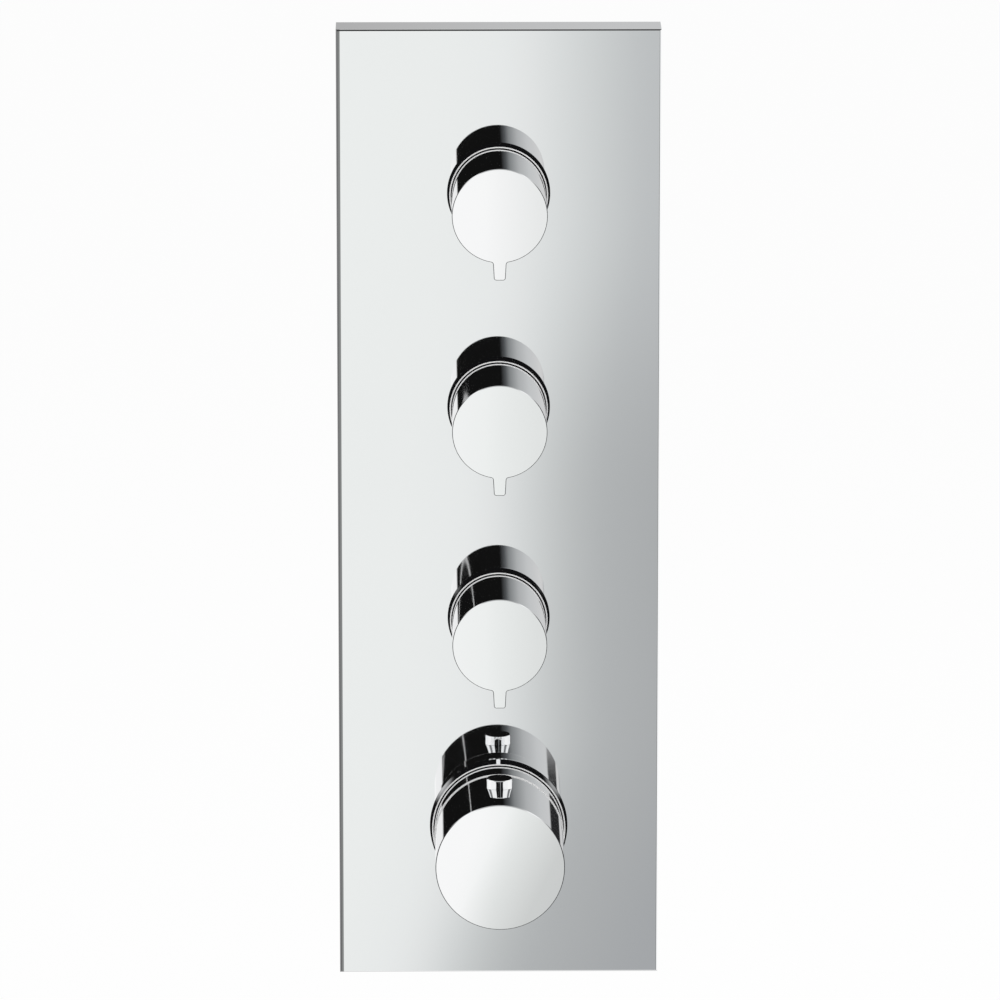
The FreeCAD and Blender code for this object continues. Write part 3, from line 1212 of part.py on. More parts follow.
def thermostat_nut():
    """The nut that holds the cartridge down; its front sleeve takes the collar's thread."""
    body = new_body("thermostat_nut", ("0", "0", HEAT_AXIS))
    thread_radius = "(heat_recess_radius - thread_gap)"
    thread_end = "(heat_shoulder_depth - housing_flange)"
    hex_front = "(heat_boss_front - lock_hex_thickness)"
    sleeve_radius = "(heat_skirt_radius - 2)"
    revolve(body, "turning", [
        ("0", "-neck_front"),
        (sleeve_radius, "-neck_front"),
        (sleeve_radius, "heat_boss_front"),
        (thread_radius, "heat_boss_front"),
        (thread_radius, thread_end),
        ("0", thread_end),
    ])
    flats = outline(body, "hex_outline", "XZ_Plane", polygon("lock_hex_circumradius", HEX_SIDES),
                    depth=hex_front)
    extrude(body, "hexagon", flats, "lock_hex_thickness", backwards=True)
    bore(body, "inside", [
        ("0", "-neck_front - 1"),
        ("lock_sleeve_inner", "-neck_front - 1"),
        ("lock_sleeve_inner", f"{thread_end} + 1"),
        ("0", f"{thread_end} + 1"),
    ])
    return body


def thermostat_rings():
    """The sealing rings in the cartridge's three grooves."""
    rings = [
        tube(f"{place}_thermostat_ring", "groove_floor_radius", "heat_bore_radius - thread_gap",
             f"{place}_groove_depth + fit_gap", f"{place}_groove_depth + groove_width - fit_gap",
             ("0", "0", HEAT_AXIS))
        for place in ("front", "middle", "rear")
    ]
    return group("thermostat_rings", rings)


def hot_seat():
    """The ring in the cartridge's rear end: hot seat in front, ledge for the return spring behind."""
    body = new_body("hot_seat", ("0", "0", HEAT_AXIS))
    outer = "(shuttle_bore_radius - thread_gap)"
    revolve(body, "ring", [
        ("hot_seat_inner_radius", "hot_seat_front"),
        (outer, "hot_seat_front"),
        (outer, "housing_rear"),
        ("spring_ledge_radius", "housing_rear"),
        ("spring_ledge_radius", LEDGE_FACE),
        ("hot_seat_inner_radius", LEDGE_FACE),
    ])
    return body


def regulating_spindle():
    """The spindle that the knob turns: splined and tapped in front, a thrust flange, a thread behind."""
    body = new_body("regulating_spindle", ("0", "0", HEAT_AXIS))
    flange_rear = "(-housing_recess_floor - fit_gap)"
    flange_front = f"({flange_rear} - spindle_flange)"
    revolve(body, "shank", [
        ("0", HEAT_SPLINE_REAR),
        ("heat_spindle_radius", HEAT_SPLINE_REAR),
        ("heat_spindle_radius", flange_front),
        ("spindle_flange_radius", flange_front),
        ("spindle_flange_radius", flange_rear),
        ("heat_spindle_radius", flange_rear),
        ("heat_spindle_radius", "nut_chamber_front"),
        ("heat_thread_radius", "nut_chamber_front"),
        ("heat_thread_radius", "heat_thread_end"),
        ("0", "heat_thread_end"),
    ])
    splines = outline(body, "spline_outline", "XZ_Plane", star("heat_spindle_radius", "spline_tooth"),
                      depth=HEAT_SPLINE_REAR)
    extrude(body, "splines", splines, "heat_spline_length")
    hole = circles(body, "tapped_outline", "XZ_Plane", [("0", "0", "screw_bore_radius")],
                   depth=HEAT_SPINDLE_FRONT)
    pocket(body, "tapped_bore", hole, "screw_length - carrier_seat + 1")
    return body


def adjusting_nut():
    """The keyed nut that the spindle's thread moves, with the cup that holds the overload spring."""
    body = new_body("adjusting_nut", ("0", "0", HEAT_AXIS))
    revolve(body, "barrel", [("0", "nut_front"), ("nut_radius", "nut_front"), ("nut_radius", NUT_REAR),
                             ("0", NUT_REAR)])
    keys = outline(body, "key_outline", "XZ_Plane", rectangle(
        "-nut_key_reach", "nut_key_reach", "-nut_key_width / 2", "nut_key_width / 2"), depth="nut_front")
    extrude(body, "keys", keys, f"{NUT_REAR} - nut_front", backwards=True)
    thread = "(heat_thread_radius + thread_gap)"
    bore(body, "inside", [
        ("0", "nut_front - 1"),
        (thread, "nut_front - 1"),
        (thread, OVERLOAD_FRONT),
        ("overload_cavity_radius", OVERLOAD_FRONT),
        ("overload_cavity_radius", LIP_FACE),
        ("nut_lip_radius", LIP_FACE),
        ("nut_lip_radius", f"{NUT_REAR} + 1"),
        ("0", f"{NUT_REAR} + 1"),
    ])
    return body


def overload_plunger():
    """The plate that the overload spring holds on the nut's lip; its nose bears on the wax element."""
    body = new_body("overload_plunger", ("0", "0", HEAT_AXIS))
    radius = "(overload_cavity_radius - fit_gap)"
    revolve(body, "plate", [
        ("0", f"{LIP_FACE} - plunger_thickness"),
        (radius, f"{LIP_FACE} - plunger_thickness"),
        (radius, LIP_FACE),
        ("plunger_nose_radius", LIP_FACE),
        ("plunger_nose_radius", WAX_STEM_FRONT),
        ("0", WAX_STEM_FRONT),
    ])
    return body


def overload_spring():
    """The spring that gives way when the shuttle is hard on its seat, as the sleeve its coils fill."""
    return tube("overload_spring", "overload_spring_inner", "overload_spring_outer", OVERLOAD_FRONT,
                f"{LIP_FACE} - plunger_thickness", ("0", "0", HEAT_AXIS))


def wax_element():
    """The wax element: piston in front, collar on the shuttle's web, bulb in the mixed water behind."""
    body = new_body("wax_element", ("0", "0", HEAT_AXIS))
    collar_front = "(shuttle_web_front - wax_collar_length)"
    revolve(body, "element", [
        ("0", WAX_STEM_FRONT),
        ("wax_stem_radius", WAX_STEM_FRONT),
        ("wax_stem_radius", collar_front),
        ("wax_collar_radius", collar_front),
        ("wax_collar_radius", "shuttle_web_front"),
        ("wax_body_radius", "shuttle_web_front"),
        ("wax_body_radius", "wax_rear"),
        ("0", "wax_rear"),
    ])
    return body


def shuttle():
    """The sliding sleeve between the seats, carried on the wax element by a pierced web."""
    body = new_body("shuttle", ("0", "0", HEAT_AXIS))
    band = "(shuttle_bore_radius - thread_gap)"
    middle = "(middle_groove_depth + groove_width / 2)"
    band_front = f"({middle} - shuttle_band_length / 2)"
    band_rear = f"({middle} + shuttle_band_length / 2)"
    revolve(body, "sleeve", [
        ("shuttle_inner_radius", "shuttle_front"),
        ("shuttle_lip_radius", "shuttle_front"),
        ("shuttle_lip_radius", band_front),
        (band, band_front),
        (band, band_rear),
        ("shuttle_lip_radius", band_rear),
        ("shuttle_lip_radius", "shuttle_rear"),
        ("shuttle_inner_radius", "shuttle_rear"),
        ("shuttle_inner_radius", SHUTTLE_WEB_REAR),
        ("wax_body_radius + thread_gap", SHUTTLE_WEB_REAR),
        ("wax_body_radius + thread_gap", "shuttle_web_front"),
        ("shuttle_inner_radius", "shuttle_web_front"),
    ])
    for side, sign in (("upper", ""), ("lower", "-")):
        port = outline(body, f"{side}_port_outline", "XZ_Plane", port_corners(
            sign, "shuttle_port_inner", "shuttle_port_outer", "shuttle_port_half"), depth="shuttle_web_front")
        pocket(body, f"{side}_port", port, "shuttle_web + 1")
    return body


def return_spring():
    """The spring that pushes the shuttle forwards, as the sleeve that its coils fill."""
    return tube("return_spring", "return_spring_inner", "return_spring_outer", SHUTTLE_WEB_REAR, LEDGE_FACE,
                ("0", "0", HEAT_AXIS))


# ---------------------------------------------------------------------------------------------------------
# Concealed valve body, plug, brackets
# ---------------------------------------------------------------------------------------------------------
def valve_body():
    """The brass casting: an upright gallery, four bosses to the front, two inlets and three outlets."""
    top, middle, lower = STOP_AXES
    solids = [rod("gallery", "+Z", "gallery_radius", f"{GALLERY_TOP} - {GALLERY_BOTTOM}",
                  ("0", "gallery_depth", GALLERY_BOTTOM))]
    cuts = [
        rod("gallery_bore", "+Z", "gallery_bore_radius",
            f"{GALLERY_TOP} - {GALLERY_BOTTOM} - gallery_end_wall + 1",
            ("0", "gallery_depth", f"{GALLERY_BOTTOM} + gallery_end_wall")),
        rod("plug_bore", "+Z", "plug_radius + thread_gap", "plug_length + 2",
            ("0", "gallery_depth", f"{GALLERY_TOP} - plug_length - 1")),
    ]
    for place, axis in zip(STOP_PLACES, STOP_AXES):
        solids.append(rod(f"{place}_boss", "+Y", "stop_boss_radius", "boss_rear - stop_boss_front",
                          ("0", "stop_boss_front", axis)))
        cuts.append(rod(f"{place}_chamber", "+Y", "stop_bore_radius", "stop_seat_depth - stop_boss_front + 1",
                        ("0", "stop_boss_front - 1", axis)))
        cuts.append(rod(f"{place}_port", "+Y", "stop_port_radius", "gallery_depth - stop_seat_depth + 1",
                        ("0", "stop_seat_depth - 1", axis)))
    solids.append(rod("thermostat_boss", "+Y", "heat_boss_radius", "boss_rear - heat_boss_front",
                      ("0", "heat_boss_front", HEAT_AXIS)))
    cuts += [
        rod("thermostat_mouth", "+Y", "heat_recess_radius", "heat_shoulder_depth - heat_boss_front + 1",
            ("0", "heat_boss_front - 1", HEAT_AXIS)),
        rod("thermostat_chamber", "+Y", "heat_bore_radius", "heat_floor_depth - heat_shoulder_depth + 1",
            ("0", "heat_shoulder_depth - 1", HEAT_AXIS)),
        rod("mixed_port", "+Y", "heat_port_radius", "gallery_depth - heat_floor_depth + 1",
            ("0", "heat_floor_depth - 1", HEAT_AXIS)),
    ]
    solids.append(block("spine", ("spine_thickness", "gallery_depth - spine_front", f"{top} - {HEAT_AXIS}"),
                        ("-spine_thickness / 2", "spine_front", HEAT_AXIS)))
    for water, axis, sign in (("hot", "-X", "-"), ("cold", "+X", "")):
        solids.append(rod(f"{water}_inlet", axis, "inlet_boss_radius", "inlet_reach - heat_bore_radius",
                          (f"{sign}heat_bore_radius", "inlet_depth", HEAT_AXIS)))
        flats = doc.addObject("Part::Prism", f"{water}_inlet_flats")
        flats.Polygon = 8
        flats.FirstAngle = 0
        flats.setExpression("Circumradius", bound("inlet_hex_circumradius"))
        flats.setExpression("Height", bound("inlet_hex_length"))
        settle(flats, ALONG[axis].multiply(FreeCAD.Rotation(FreeCAD.Vector(0, 0, 1), 22.5)),
               (f"{sign}(inlet_reach - inlet_hex_length)", "inlet_depth", HEAT_AXIS))
        solids.append(flats)
        cuts += [
            rod(f"{water}_thread", axis, "inlet_thread_radius", "inlet_thread_length + 1",
                (f"{sign}(inlet_reach - inlet_thread_length)", "inlet_depth", HEAT_AXIS)),
            rod(f"{water}_check_bore", axis, "check_bore_radius",
                "inlet_reach - inlet_thread_length - check_bore_end + 1",
                (f"{sign}check_bore_end", "inlet_depth", HEAT_AXIS)),
            rod(f"{water}_feed", axis, "feed_radius", "check_bore_end - heat_bore_radius / 2 + 1",
                (f"{sign}heat_bore_radius / 2", f"{water}_window_depth", HEAT_AXIS)),
        ]
    outlets = [
        ("top", "+Z", ("0", "outlet_depth", top), "top_outlet_reach",
         ("0", "outlet_depth", f"{top} + top_outlet_reach - outlet_thread_length")),
        ("middle", "-X", ("0", "outlet_depth", middle), "outlet_reach",
         ("-(outlet_reach - outlet_thread_length)", "outlet_depth", middle)),
        ("lower", "+X", ("0", "outlet_depth", lower), "outlet_reach",
         ("outlet_reach - outlet_thread_length", "outlet_depth", lower)),
    ]
    for place, axis, start, reach, thread_start in outlets:
        solids.append(rod(f"{place}_outlet", axis, "outlet_boss_radius", reach, start))
        cuts.append(rod(f"{place}_outlet_port", axis, "outlet_port_radius", reach, start))
        cuts.append(rod(f"{place}_outlet_thread", axis, "outlet_thread_radius", "outlet_thread_length + 1",
                        thread_start))
    for level, axis in zip(("upper", "lower"), BRACKET_AXES):
        solids.append(block(
            f"{level}_pad",
            ("bracket_pad_width", "bracket_depth - bracket_pad_front", "bracket_pad_height"),
            ("-bracket_pad_width / 2", "bracket_pad_front", f"{axis} - bracket_pad_height / 2")))
        for side, sign in (("left", "-"), ("right", "")):
            cuts.append(rod(f"{level}_{side}_tapping", "+Y", "bracket_screw_radius + thread_gap",
                            "bracket_screw_length + 2",
                            (f"{sign}bracket_screw_spacing / 2", "bracket_depth - bracket_screw_length - 1",
                             axis)))
    return difference("valve_body", fused("casting", solids), cuts)


def gallery_plug():
    """The plug in the gallery's open top, with a key socket in its head."""
    body = new_body("gallery_plug", ("0", "gallery_depth", "0"), UPWARD)
    head_top = f"({GALLERY_TOP} + plug_head)"
    revolve(body, "plug", [
        ("0", f"{GALLERY_TOP} - plug_length"),
        ("plug_radius", f"{GALLERY_TOP} - plug_length"),
        ("plug_radius", GALLERY_TOP),
        ("plug_head_radius", GALLERY_TOP),
        ("plug_head_radius", head_top),
        ("0", head_top),
    ])
    key = outline(body, "key", "XZ_Plane", hexagon("plug_key"), depth=head_top)
    pocket(body, "socket", key, "plug_head + 2", backwards=True)
    return body


def wall_bracket(level, axis):
    """A folded steel strap behind the body, with two screw holes and two long fixing slots."""
    body = new_body(f"{level}_wall_bracket", ("0", "0", axis))
    rear = "(bracket_depth + bracket_sheet)"
    up = "(bracket_height / 2)"
    fold_front = "(bracket_depth - bracket_lip)"
    section = outline(body, "fold", "YZ_Plane", [
        (fold_front, up), (rear, up), (rear, f"-{up}"), (fold_front, f"-{up}"),
        (fold_front, f"-{up} + bracket_sheet"), ("bracket_depth", f"-{up} + bracket_sheet"),
        ("bracket_depth", f"{up} - bracket_sheet"), (fold_front, f"{up} - bracket_sheet"),
    ])
    extrude(body, "strap", section, "bracket_width", midplane=True)
    # the folded edges stop short of the gallery
    notch = outline(body, "notch_outline", "XY_Plane", rectangle(
        "-gallery_radius - 1", "gallery_radius + 1", f"{fold_front} - 1", "bracket_depth"))
    pocket(body, "notch", notch, "bracket_height + 2", midplane=True)
    for side, sign in (("left", "-"), ("right", "")):
        run = slot(body, f"{side}_slot_outline", "XZ_Plane", f"{sign}slot_spacing / 2",
                   "slot_length / 2 - slot_radius", "slot_radius", rear)
        pocket(body, f"{side}_slot", run, "bracket_sheet + 1", backwards=True)
    return body


def bracket_screw(name, side, axis):
    """A countersunk screw that holds a bracket on its pad."""
    body = new_body(name, (side, "0", axis))
    rear = "(bracket_depth + bracket_sheet)"
    tip = "(bracket_depth - bracket_screw_length)"
    revolve(body, "screw", [
        ("0", tip),
        ("bracket_screw_radius", tip),
        ("bracket_screw_radius", f"{rear} - bracket_head_height"),
        ("bracket_head_radius", rear),
        ("0", rear),
    ])
    return body


def countersink(name, side, axis):
    """The space that a bracket screw's head and shank leave in the bracket."""
    body = new_body(name, (side, "0", axis))
    rear = "(bracket_depth + bracket_sheet)"
    hole = "(bracket_screw_radius + fit_gap)"
    wide = "(bracket_head_radius + fit_gap)"
    revolve(body, "space", [
        ("0", "bracket_depth - 1"),
        (hole, "bracket_depth - 1"),
        (hole, f"{rear} - bracket_head_height"),
        (wide, rear),
        (wide, f"{rear} + 1"),
        ("0", f"{rear} + 1"),
    ])
    return body


def wall_brackets():
    """An upper and a lower bracket, and their screws."""
    made = []
    screws = []
    for level, axis in zip(("upper", "lower"), BRACKET_AXES):
        spaces = []
        for side, sign in (("left", "-"), ("right", "")):
            place = f"{sign}bracket_screw_spacing / 2"
            screws.append(bracket_screw(f"{level}_{side}_bracket_screw", place, axis))
            spaces.append(countersink(f"{level}_{side}_countersink", place, axis))
        made.append(difference(f"{level}_bracket", wall_bracket(level, axis), spaces))
    return made + [group("bracket_screws", screws)]


# ---------------------------------------------------------------------------------------------------------
# Check valves and strainers in the inlets
# ---------------------------------------------------------------------------------------------------------
INLETS = [("hot", OUT_LEFT), ("cold", OUT_RIGHT)]
INLET_PLACE = ("0", "inlet_depth", HEAT_AXIS)


def check_valve_bodies():
    """The moulded housings: a seat at the outer end, a pierced spider with the stem's guide at the inner."""
    made = []
    for water, turn in INLETS:
        body = new_body(f"{water}_check_body", INLET_PLACE, turn)
        outer = "(check_bore_radius - fit_gap)"
        inner = f"({outer} - check_wall)"
        revolve(body, "shell", [
            ("check_guide_radius", "check_inner_end"),
            (outer, "check_inner_end"),
            (outer, "check_outer_end"),
            ("check_seat_radius", "check_outer_end"),
            ("check_seat_radius", CHECK_SEAT_FACE),
            (inner, CHECK_SEAT_FACE),
            (inner, SPIDER_FACE),
            ("check_guide_radius", SPIDER_FACE),
        ])
        for side, sign in (("upper", ""), ("lower", "-")):
            port = outline(body, f"{side}_port_outline", "XZ_Plane", port_corners(
                sign, "check_port_inner", "check_port_outer", "check_port_half"), depth="check_inner_end")
            pocket(body, f"{side}_port", port, "check_seat_thickness + 1")
        made.append(body)
    return group("check_valve_bodies", made)


def poppet(water, turn):
    """The check valve's poppet: a plate on the seat, with a guided stem."""
    body = new_body(f"{water}_poppet", INLET_PLACE, turn)
    revolve(body, "poppet", [
        ("0", "poppet_stem_end"),
        ("poppet_stem_radius", "poppet_stem_end"),
        ("poppet_stem_radius", POPPET_REAR),
        ("poppet_radius", POPPET_REAR),
        ("poppet_radius", CHECK_SEAT_FACE),
        ("0", CHECK_SEAT_FACE),
    ])
    return body


def check_spring(water, turn):
    """The light spring behind the poppet, as the sleeve that its coils fill."""
    return tube(f"{water}_check_spring", "check_spring_inner", "check_spring_outer", SPIDER_FACE, POPPET_REAR,
                INLET_PLACE, turn)


def inlet_strainers():
    """Slotted discs in front of the check valves."""
    made = []
    outer_face = "(inlet_reach - inlet_thread_length)"
    for water, turn in INLETS:
        body = new_body(f"{water}_strainer", INLET_PLACE, turn)
        start = f"({outer_face} - strainer_thickness)"
        radius = "(check_bore_radius - fit_gap)"
        revolve(body, "disc", [("0", start), (radius, start), (radius, outer_face), ("0", outer_face)])
        for k in range(-2, 3):
            middle = f"({k} * strainer_pitch)"
            half_run = f"(check_bore_radius * {0.78 - 0.1 * abs(k):.2f})"
            slot = outline(body, f"slot_outline_{k + 2}", "XZ_Plane", rectangle(
                f"-{half_run}", half_run, f"{middle} - strainer_slot / 2", f"{middle} + strainer_slot / 2"),
                depth=start)
            pocket(body, f"slot_{k + 2}", slot, "strainer_thickness + 1")
        made.append(body)
    return group("inlet_strainers", made)


# ---------------------------------------------------------------------------------------------------------
# The whole valve
# ---------------------------------------------------------------------------------------------------------
keep(front_plate(), plate_gasket(), mounting_frame(), plate_clips())
for place, axis in zip(STOP_PLACES, STOP_AXES):
    keep(
        collar(f"{place}_collar", "knob_radius", "stop_skirt_radius", "neck_radius", axis),
        stop_knob(place, axis),
        knob_adapter(place, axis),
        knob_screw(place, axis),
        stop_cartridge(place, axis),
        stop_spindle(place, axis),
        moving_disc(place, axis),
    )
keep(fixed_discs(), seat_seals(), cartridge_rings(), collar_seals())
keep(
    collar("thermostat_collar", SLEEVE_RADIUS, "heat_skirt_radius", "(heat_skirt_radius - 2)", HEAT_AXIS),
    thermostat_sleeve(),
    thermostat_handle(),
    button_guide(),
    safety_button(),
    button_spring(),
    handle_carrier(),
    handle_screw(),
    stop_ring(),
    thermostat_housing(),
    thermostat_nut(),
    thermostat_rings(),
    hot_seat(),
    regulating_spindle(),
    adjusting_nut(),
    overload_plunger(),
    overload_spring(),
    wax_element(),
    shuttle(),
    return_spring(),
)
keep(valve_body(), gallery_plug(), *wall_brackets())
keep(check_valve_bodies(), inlet_strainers())
for water, turn in INLETS:
    keep(poppet(water, turn), check_spring(water, turn))

doc.recompute()

# Nothing is written unless every object is sound.
faults = []
for thing in doc.Objects:
    if "Invalid" in thing.State or "Error" in thing.State:
        faults.append(f"{thing.Label}: {thing.State}")
for piece in pieces:
    if piece.Shape.isNull() or not piece.Shape.isValid() or not piece.Shape.Solids:
        faults.append(f"{piece.Label}: no sound shape")
if faults:
    raise RuntimeError("; ".join(faults))

os.makedirs("parts", exist_ok=True)
for piece in pieces:
    piece.Shape.exportStep(os.path.join("parts", f"{piece.Label}.step"))
print(len(pieces), "pieces written")
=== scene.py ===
"""Looks for the thermostatic shower valve: polished chrome trim over a brass body, in a white studio."""

import json
import math

import bpy
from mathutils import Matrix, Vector


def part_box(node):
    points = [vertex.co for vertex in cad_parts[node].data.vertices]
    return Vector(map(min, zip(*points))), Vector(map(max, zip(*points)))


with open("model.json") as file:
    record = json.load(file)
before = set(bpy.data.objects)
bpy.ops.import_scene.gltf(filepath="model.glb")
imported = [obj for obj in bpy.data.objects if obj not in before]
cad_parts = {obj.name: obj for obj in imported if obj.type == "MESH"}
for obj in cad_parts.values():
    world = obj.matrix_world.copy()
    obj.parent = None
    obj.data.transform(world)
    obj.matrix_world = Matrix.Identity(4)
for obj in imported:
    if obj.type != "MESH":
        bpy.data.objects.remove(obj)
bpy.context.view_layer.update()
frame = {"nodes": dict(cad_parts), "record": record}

# ---------------------------------------------------------------------------------------------------------
# Places and sizes, in metres, read from the frame
# ---------------------------------------------------------------------------------------------------------
PLATE_LOW, PLATE_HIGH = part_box("front_plate")
PLATE_CENTRE = (PLATE_LOW + PLATE_HIGH) / 2
KNOB_PLACES = ["top", "middle", "lower"]


def axis_height(node):
    """Height of the axis that a round node is turned about."""
    low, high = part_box(node)
    return (low.z + high.z) / 2


AXES = {f"{place}_knob": axis_height(f"{place}_collar") for place in KNOB_PLACES}
HEAT_AXIS = axis_height("thermostat_collar")
AXES["thermostat_handle"] = HEAT_AXIS
INLET_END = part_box("valve_body")[1].x
INLET_DEPTH = (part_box("cold_poppet")[0].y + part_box("cold_poppet")[1].y) / 2


# ---------------------------------------------------------------------------------------------------------
# Shader maths
# ---------------------------------------------------------------------------------------------------------
class Value:
    """A number in a shader. Its operators add the Math nodes."""

    def __init__(self, paint, socket):
        self.paint = paint
        self.socket = socket

    def _with(self, operation, *others):
        return self.paint.add("ShaderNodeMath", {"operation": operation}, [self, *others])

    def __add__(self, other):
        return self._with("ADD", other)

    __radd__ = __add__

    def __sub__(self, other):
        return self._with("SUBTRACT", other)

    def __rsub__(self, other):
        return self.paint.add("ShaderNodeMath", {"operation": "SUBTRACT"}, [other, self])

    def __mul__(self, other):
        return self._with("MULTIPLY", other)

    __rmul__ = __mul__

    def __truediv__(self, other):
        return self._with("DIVIDE", other)

    def __neg__(self):
        return self * -1.0

    def above(self, limit):
        return self._with("GREATER_THAN", limit)

    def below(self, limit):
        return self._with("LESS_THAN", limit)

    def highest(self, other):
        return self._with("MAXIMUM", other)

    def size(self):
        return self._with("ABSOLUTE")

    def sine(self):
        return self._with("SINE")

    def turn_from(self, other):
        """The angle whose tangent is this over the other, in radians."""
        return self._with("ARCTAN2", other)

    def root(self):
        return self._with("SQRT")


class Paint:
    """The nodes of one material or of the world."""

    def __init__(self, tree):
        self.tree = tree
        tree.nodes.clear()

    def node(self, kind, settings=None, inputs=()):
        made = self.tree.nodes.new(kind)
        for name, value in (settings or {}).items():
            if name == "stops":
                self._set_stops(made.color_ramp, value)
            else:
                setattr(made, name, value)
        pairs = inputs.items() if isinstance(inputs, dict) else enumerate(inputs)
        for key, value in pairs:
            self.feed(made.inputs[key], value)
        return made

    def add(self, kind, settings=None, inputs=(), output=0):
        return Value(self, self.node(kind, settings, inputs).outputs[output])

    def feed(self, socket, value):
        if isinstance(value, Value):
            self.tree.links.new(value.socket, socket)
        elif isinstance(value, bpy.types.NodeSocket):
            self.tree.links.new(value, socket)
        else:
            socket.default_value = value

    @staticmethod
    def _set_stops(ramp, stops):
        while len(ramp.elements) > 1:
            ramp.elements.remove(ramp.elements[-1])
        for k, (position, colour) in enumerate(stops):
            element = ramp.elements[0] if k == 0 else ramp.elements.new(position)
            element.position = position
            element.color = grey(colour) if isinstance(colour, (int, float)) else (*colour, 1.0)

    def coordinates(self):
        return self.add("ShaderNodeTexCoord", output="Object")

    def split(self, vector):
        parts = self.node("ShaderNodeSeparateXYZ", inputs=[vector])
        return [Value(self, output) for output in parts.outputs]

    def noise(self, vector, scale, detail=2.0, roughness=0.5):
        return self.add("ShaderNodeTexNoise", inputs={
            "Vector": vector, "Scale": scale, "Detail": detail, "Roughness": roughness})

    def stretched(self, vector, scale):
        return self.add("ShaderNodeMapping", inputs={"Vector": vector, "Scale": scale})

    def ramp(self, value, stops, interpolation="LINEAR"):
        made = self.node("ShaderNodeValToRGB", {"stops": stops}, [value])
        made.color_ramp.interpolation = interpolation
        return Value(self, made.outputs["Color"])

    def between(self, value, low, high, kind="SMOOTHSTEP"):
        """How far the value lies from low to high, as 0 to 1."""
        return self.add("ShaderNodeMapRange", {"interpolation_type": kind}, {
            "Value": value, "From Min": low, "From Max": high, "To Min": 0.0, "To Max": 1.0})

    def mix(self, factor, first, second):
        made = self.node("ShaderNodeMix", {"data_type": "RGBA"})
        self.feed(made.inputs["Factor"], factor)
        colours = [socket for socket in made.inputs if socket.type == "RGBA"]
        for socket, value in zip(colours, (first, second)):
            self.feed(socket, (*value, 1.0) if isinstance(value, tuple) and len(value) == 3 else value)
        result = next(socket for socket in made.outputs if socket.type == "RGBA")
        return Value(self, result)

    def bump(self, height, distance, strength=1.0):
        return self.add("ShaderNodeBump", inputs={
            "Height": height, "Distance": distance, "Strength": strength}, output="Normal")

    def surface(self, **sockets):
        names = {name.replace("_", " ").title(): value for name, value in sockets.items()}
        shader = self.node("ShaderNodeBsdfPrincipled", inputs=names)
        self.node("ShaderNodeOutputMaterial", inputs={"Surface": shader.outputs[0]})


def grey(level):
    return (level, level, level, 1.0)


def material(name):
    made = bpy.data.materials.new(name)
    made.use_nodes = True
    return made, Paint(made.node_tree)


# ---------------------------------------------------------------------------------------------------------
# Finishes
# ---------------------------------------------------------------------------------------------------------
CHROME_LOW = (0.925, 0.93, 0.935)
CHROME_HIGH = (0.945, 0.95, 0.953)
# the dark colour painted into the chrome as shade, and the pale colour of rims painted as a highlight
CHROME_PAINTED_SHADE = (0.03, 0.03, 0.032)
RIM_PAINTED_HIGHLIGHT = (0.90, 0.90, 0.90)


def polished(name, painted_shade_mask=None, form=None, painted_highlight_mask=None):
    """Mirror-polished plating, with the faintest cloudiness.

    The first mask tells where shade is painted dark into the plating, and the last where a narrow rim is
    painted pale and dull as a highlight, both as 0 to 1. form is the height of the surface over its plain
    shape. All are made from the paint and the place.
    """
    made, paint = material(name)
    place = paint.coordinates()
    cloud = paint.noise(place, 14.0, 2.0)
    fine = paint.noise(place, 900.0, 2.0)
    colour = paint.mix(cloud, CHROME_LOW, CHROME_HIGH)
    # painted shade: where the shade mask says, the plating's colour is painted dark
    if painted_shade_mask:
        colour = paint.mix(painted_shade_mask(paint, place), colour, CHROME_PAINTED_SHADE)
    height = cloud * 0.0000024
    if form:
        height = height + form(paint, place)
    metallic, roughness = 1.0, 0.018 + fine * 0.016
    # painted highlight: a narrow rim is made pale, dull and not metallic
    if painted_highlight_mask:
        dull = painted_highlight_mask(paint, place)
        colour = paint.mix(dull, colour, RIM_PAINTED_HIGHLIGHT)
        metallic = 1.0 - dull
        roughness = roughness + dull * 0.4
    paint.surface(
        base_color=colour,
        metallic=metallic,
        roughness=roughness,
        normal=paint.bump(height, 1.0, 1.0),
    )
    return made


# the plate's rolled edge, with lines of shade painted into its plating in place of what it mirrors: the width
# of the lines, how deep they reach, and how dark each one is painted
EDGE_LINE = 0.0004
LEFT_STRIP = 0.0016
LEFT_FADE = 0.0003
EDGE_DEPTH = 0.0008
TOP_PAINTED_SHADE = 0.8
LEFT_PAINTED_SHADE = 0.76
FOOT_PAINTED_SHADE = 0.35


def plate_edge_painted_shade(paint, place):
    """Painted shade on the rolled edge, in place of what it mirrors: a dark line along the top of the plate,
    a grey strip down its left and a faint line below.
    """
    x, y, z = paint.split(place)
    top = z.above(PLATE_HIGH.z - EDGE_LINE) * y.below(PLATE_LOW.y + EDGE_LINE)
    front = y.below(PLATE_LOW.y + EDGE_DEPTH)
    left = paint.between(x, PLATE_LOW.x + LEFT_STRIP, PLATE_LOW.x + LEFT_STRIP - LEFT_FADE) * front
    foot = z.below(PLATE_LOW.z + EDGE_LINE) * front
    # painted shade: the three lines darken the plating's colour
    return (top * TOP_PAINTED_SHADE).highest(left * LEFT_PAINTED_SHADE).highest(foot * FOOT_PAINTED_SHADE)


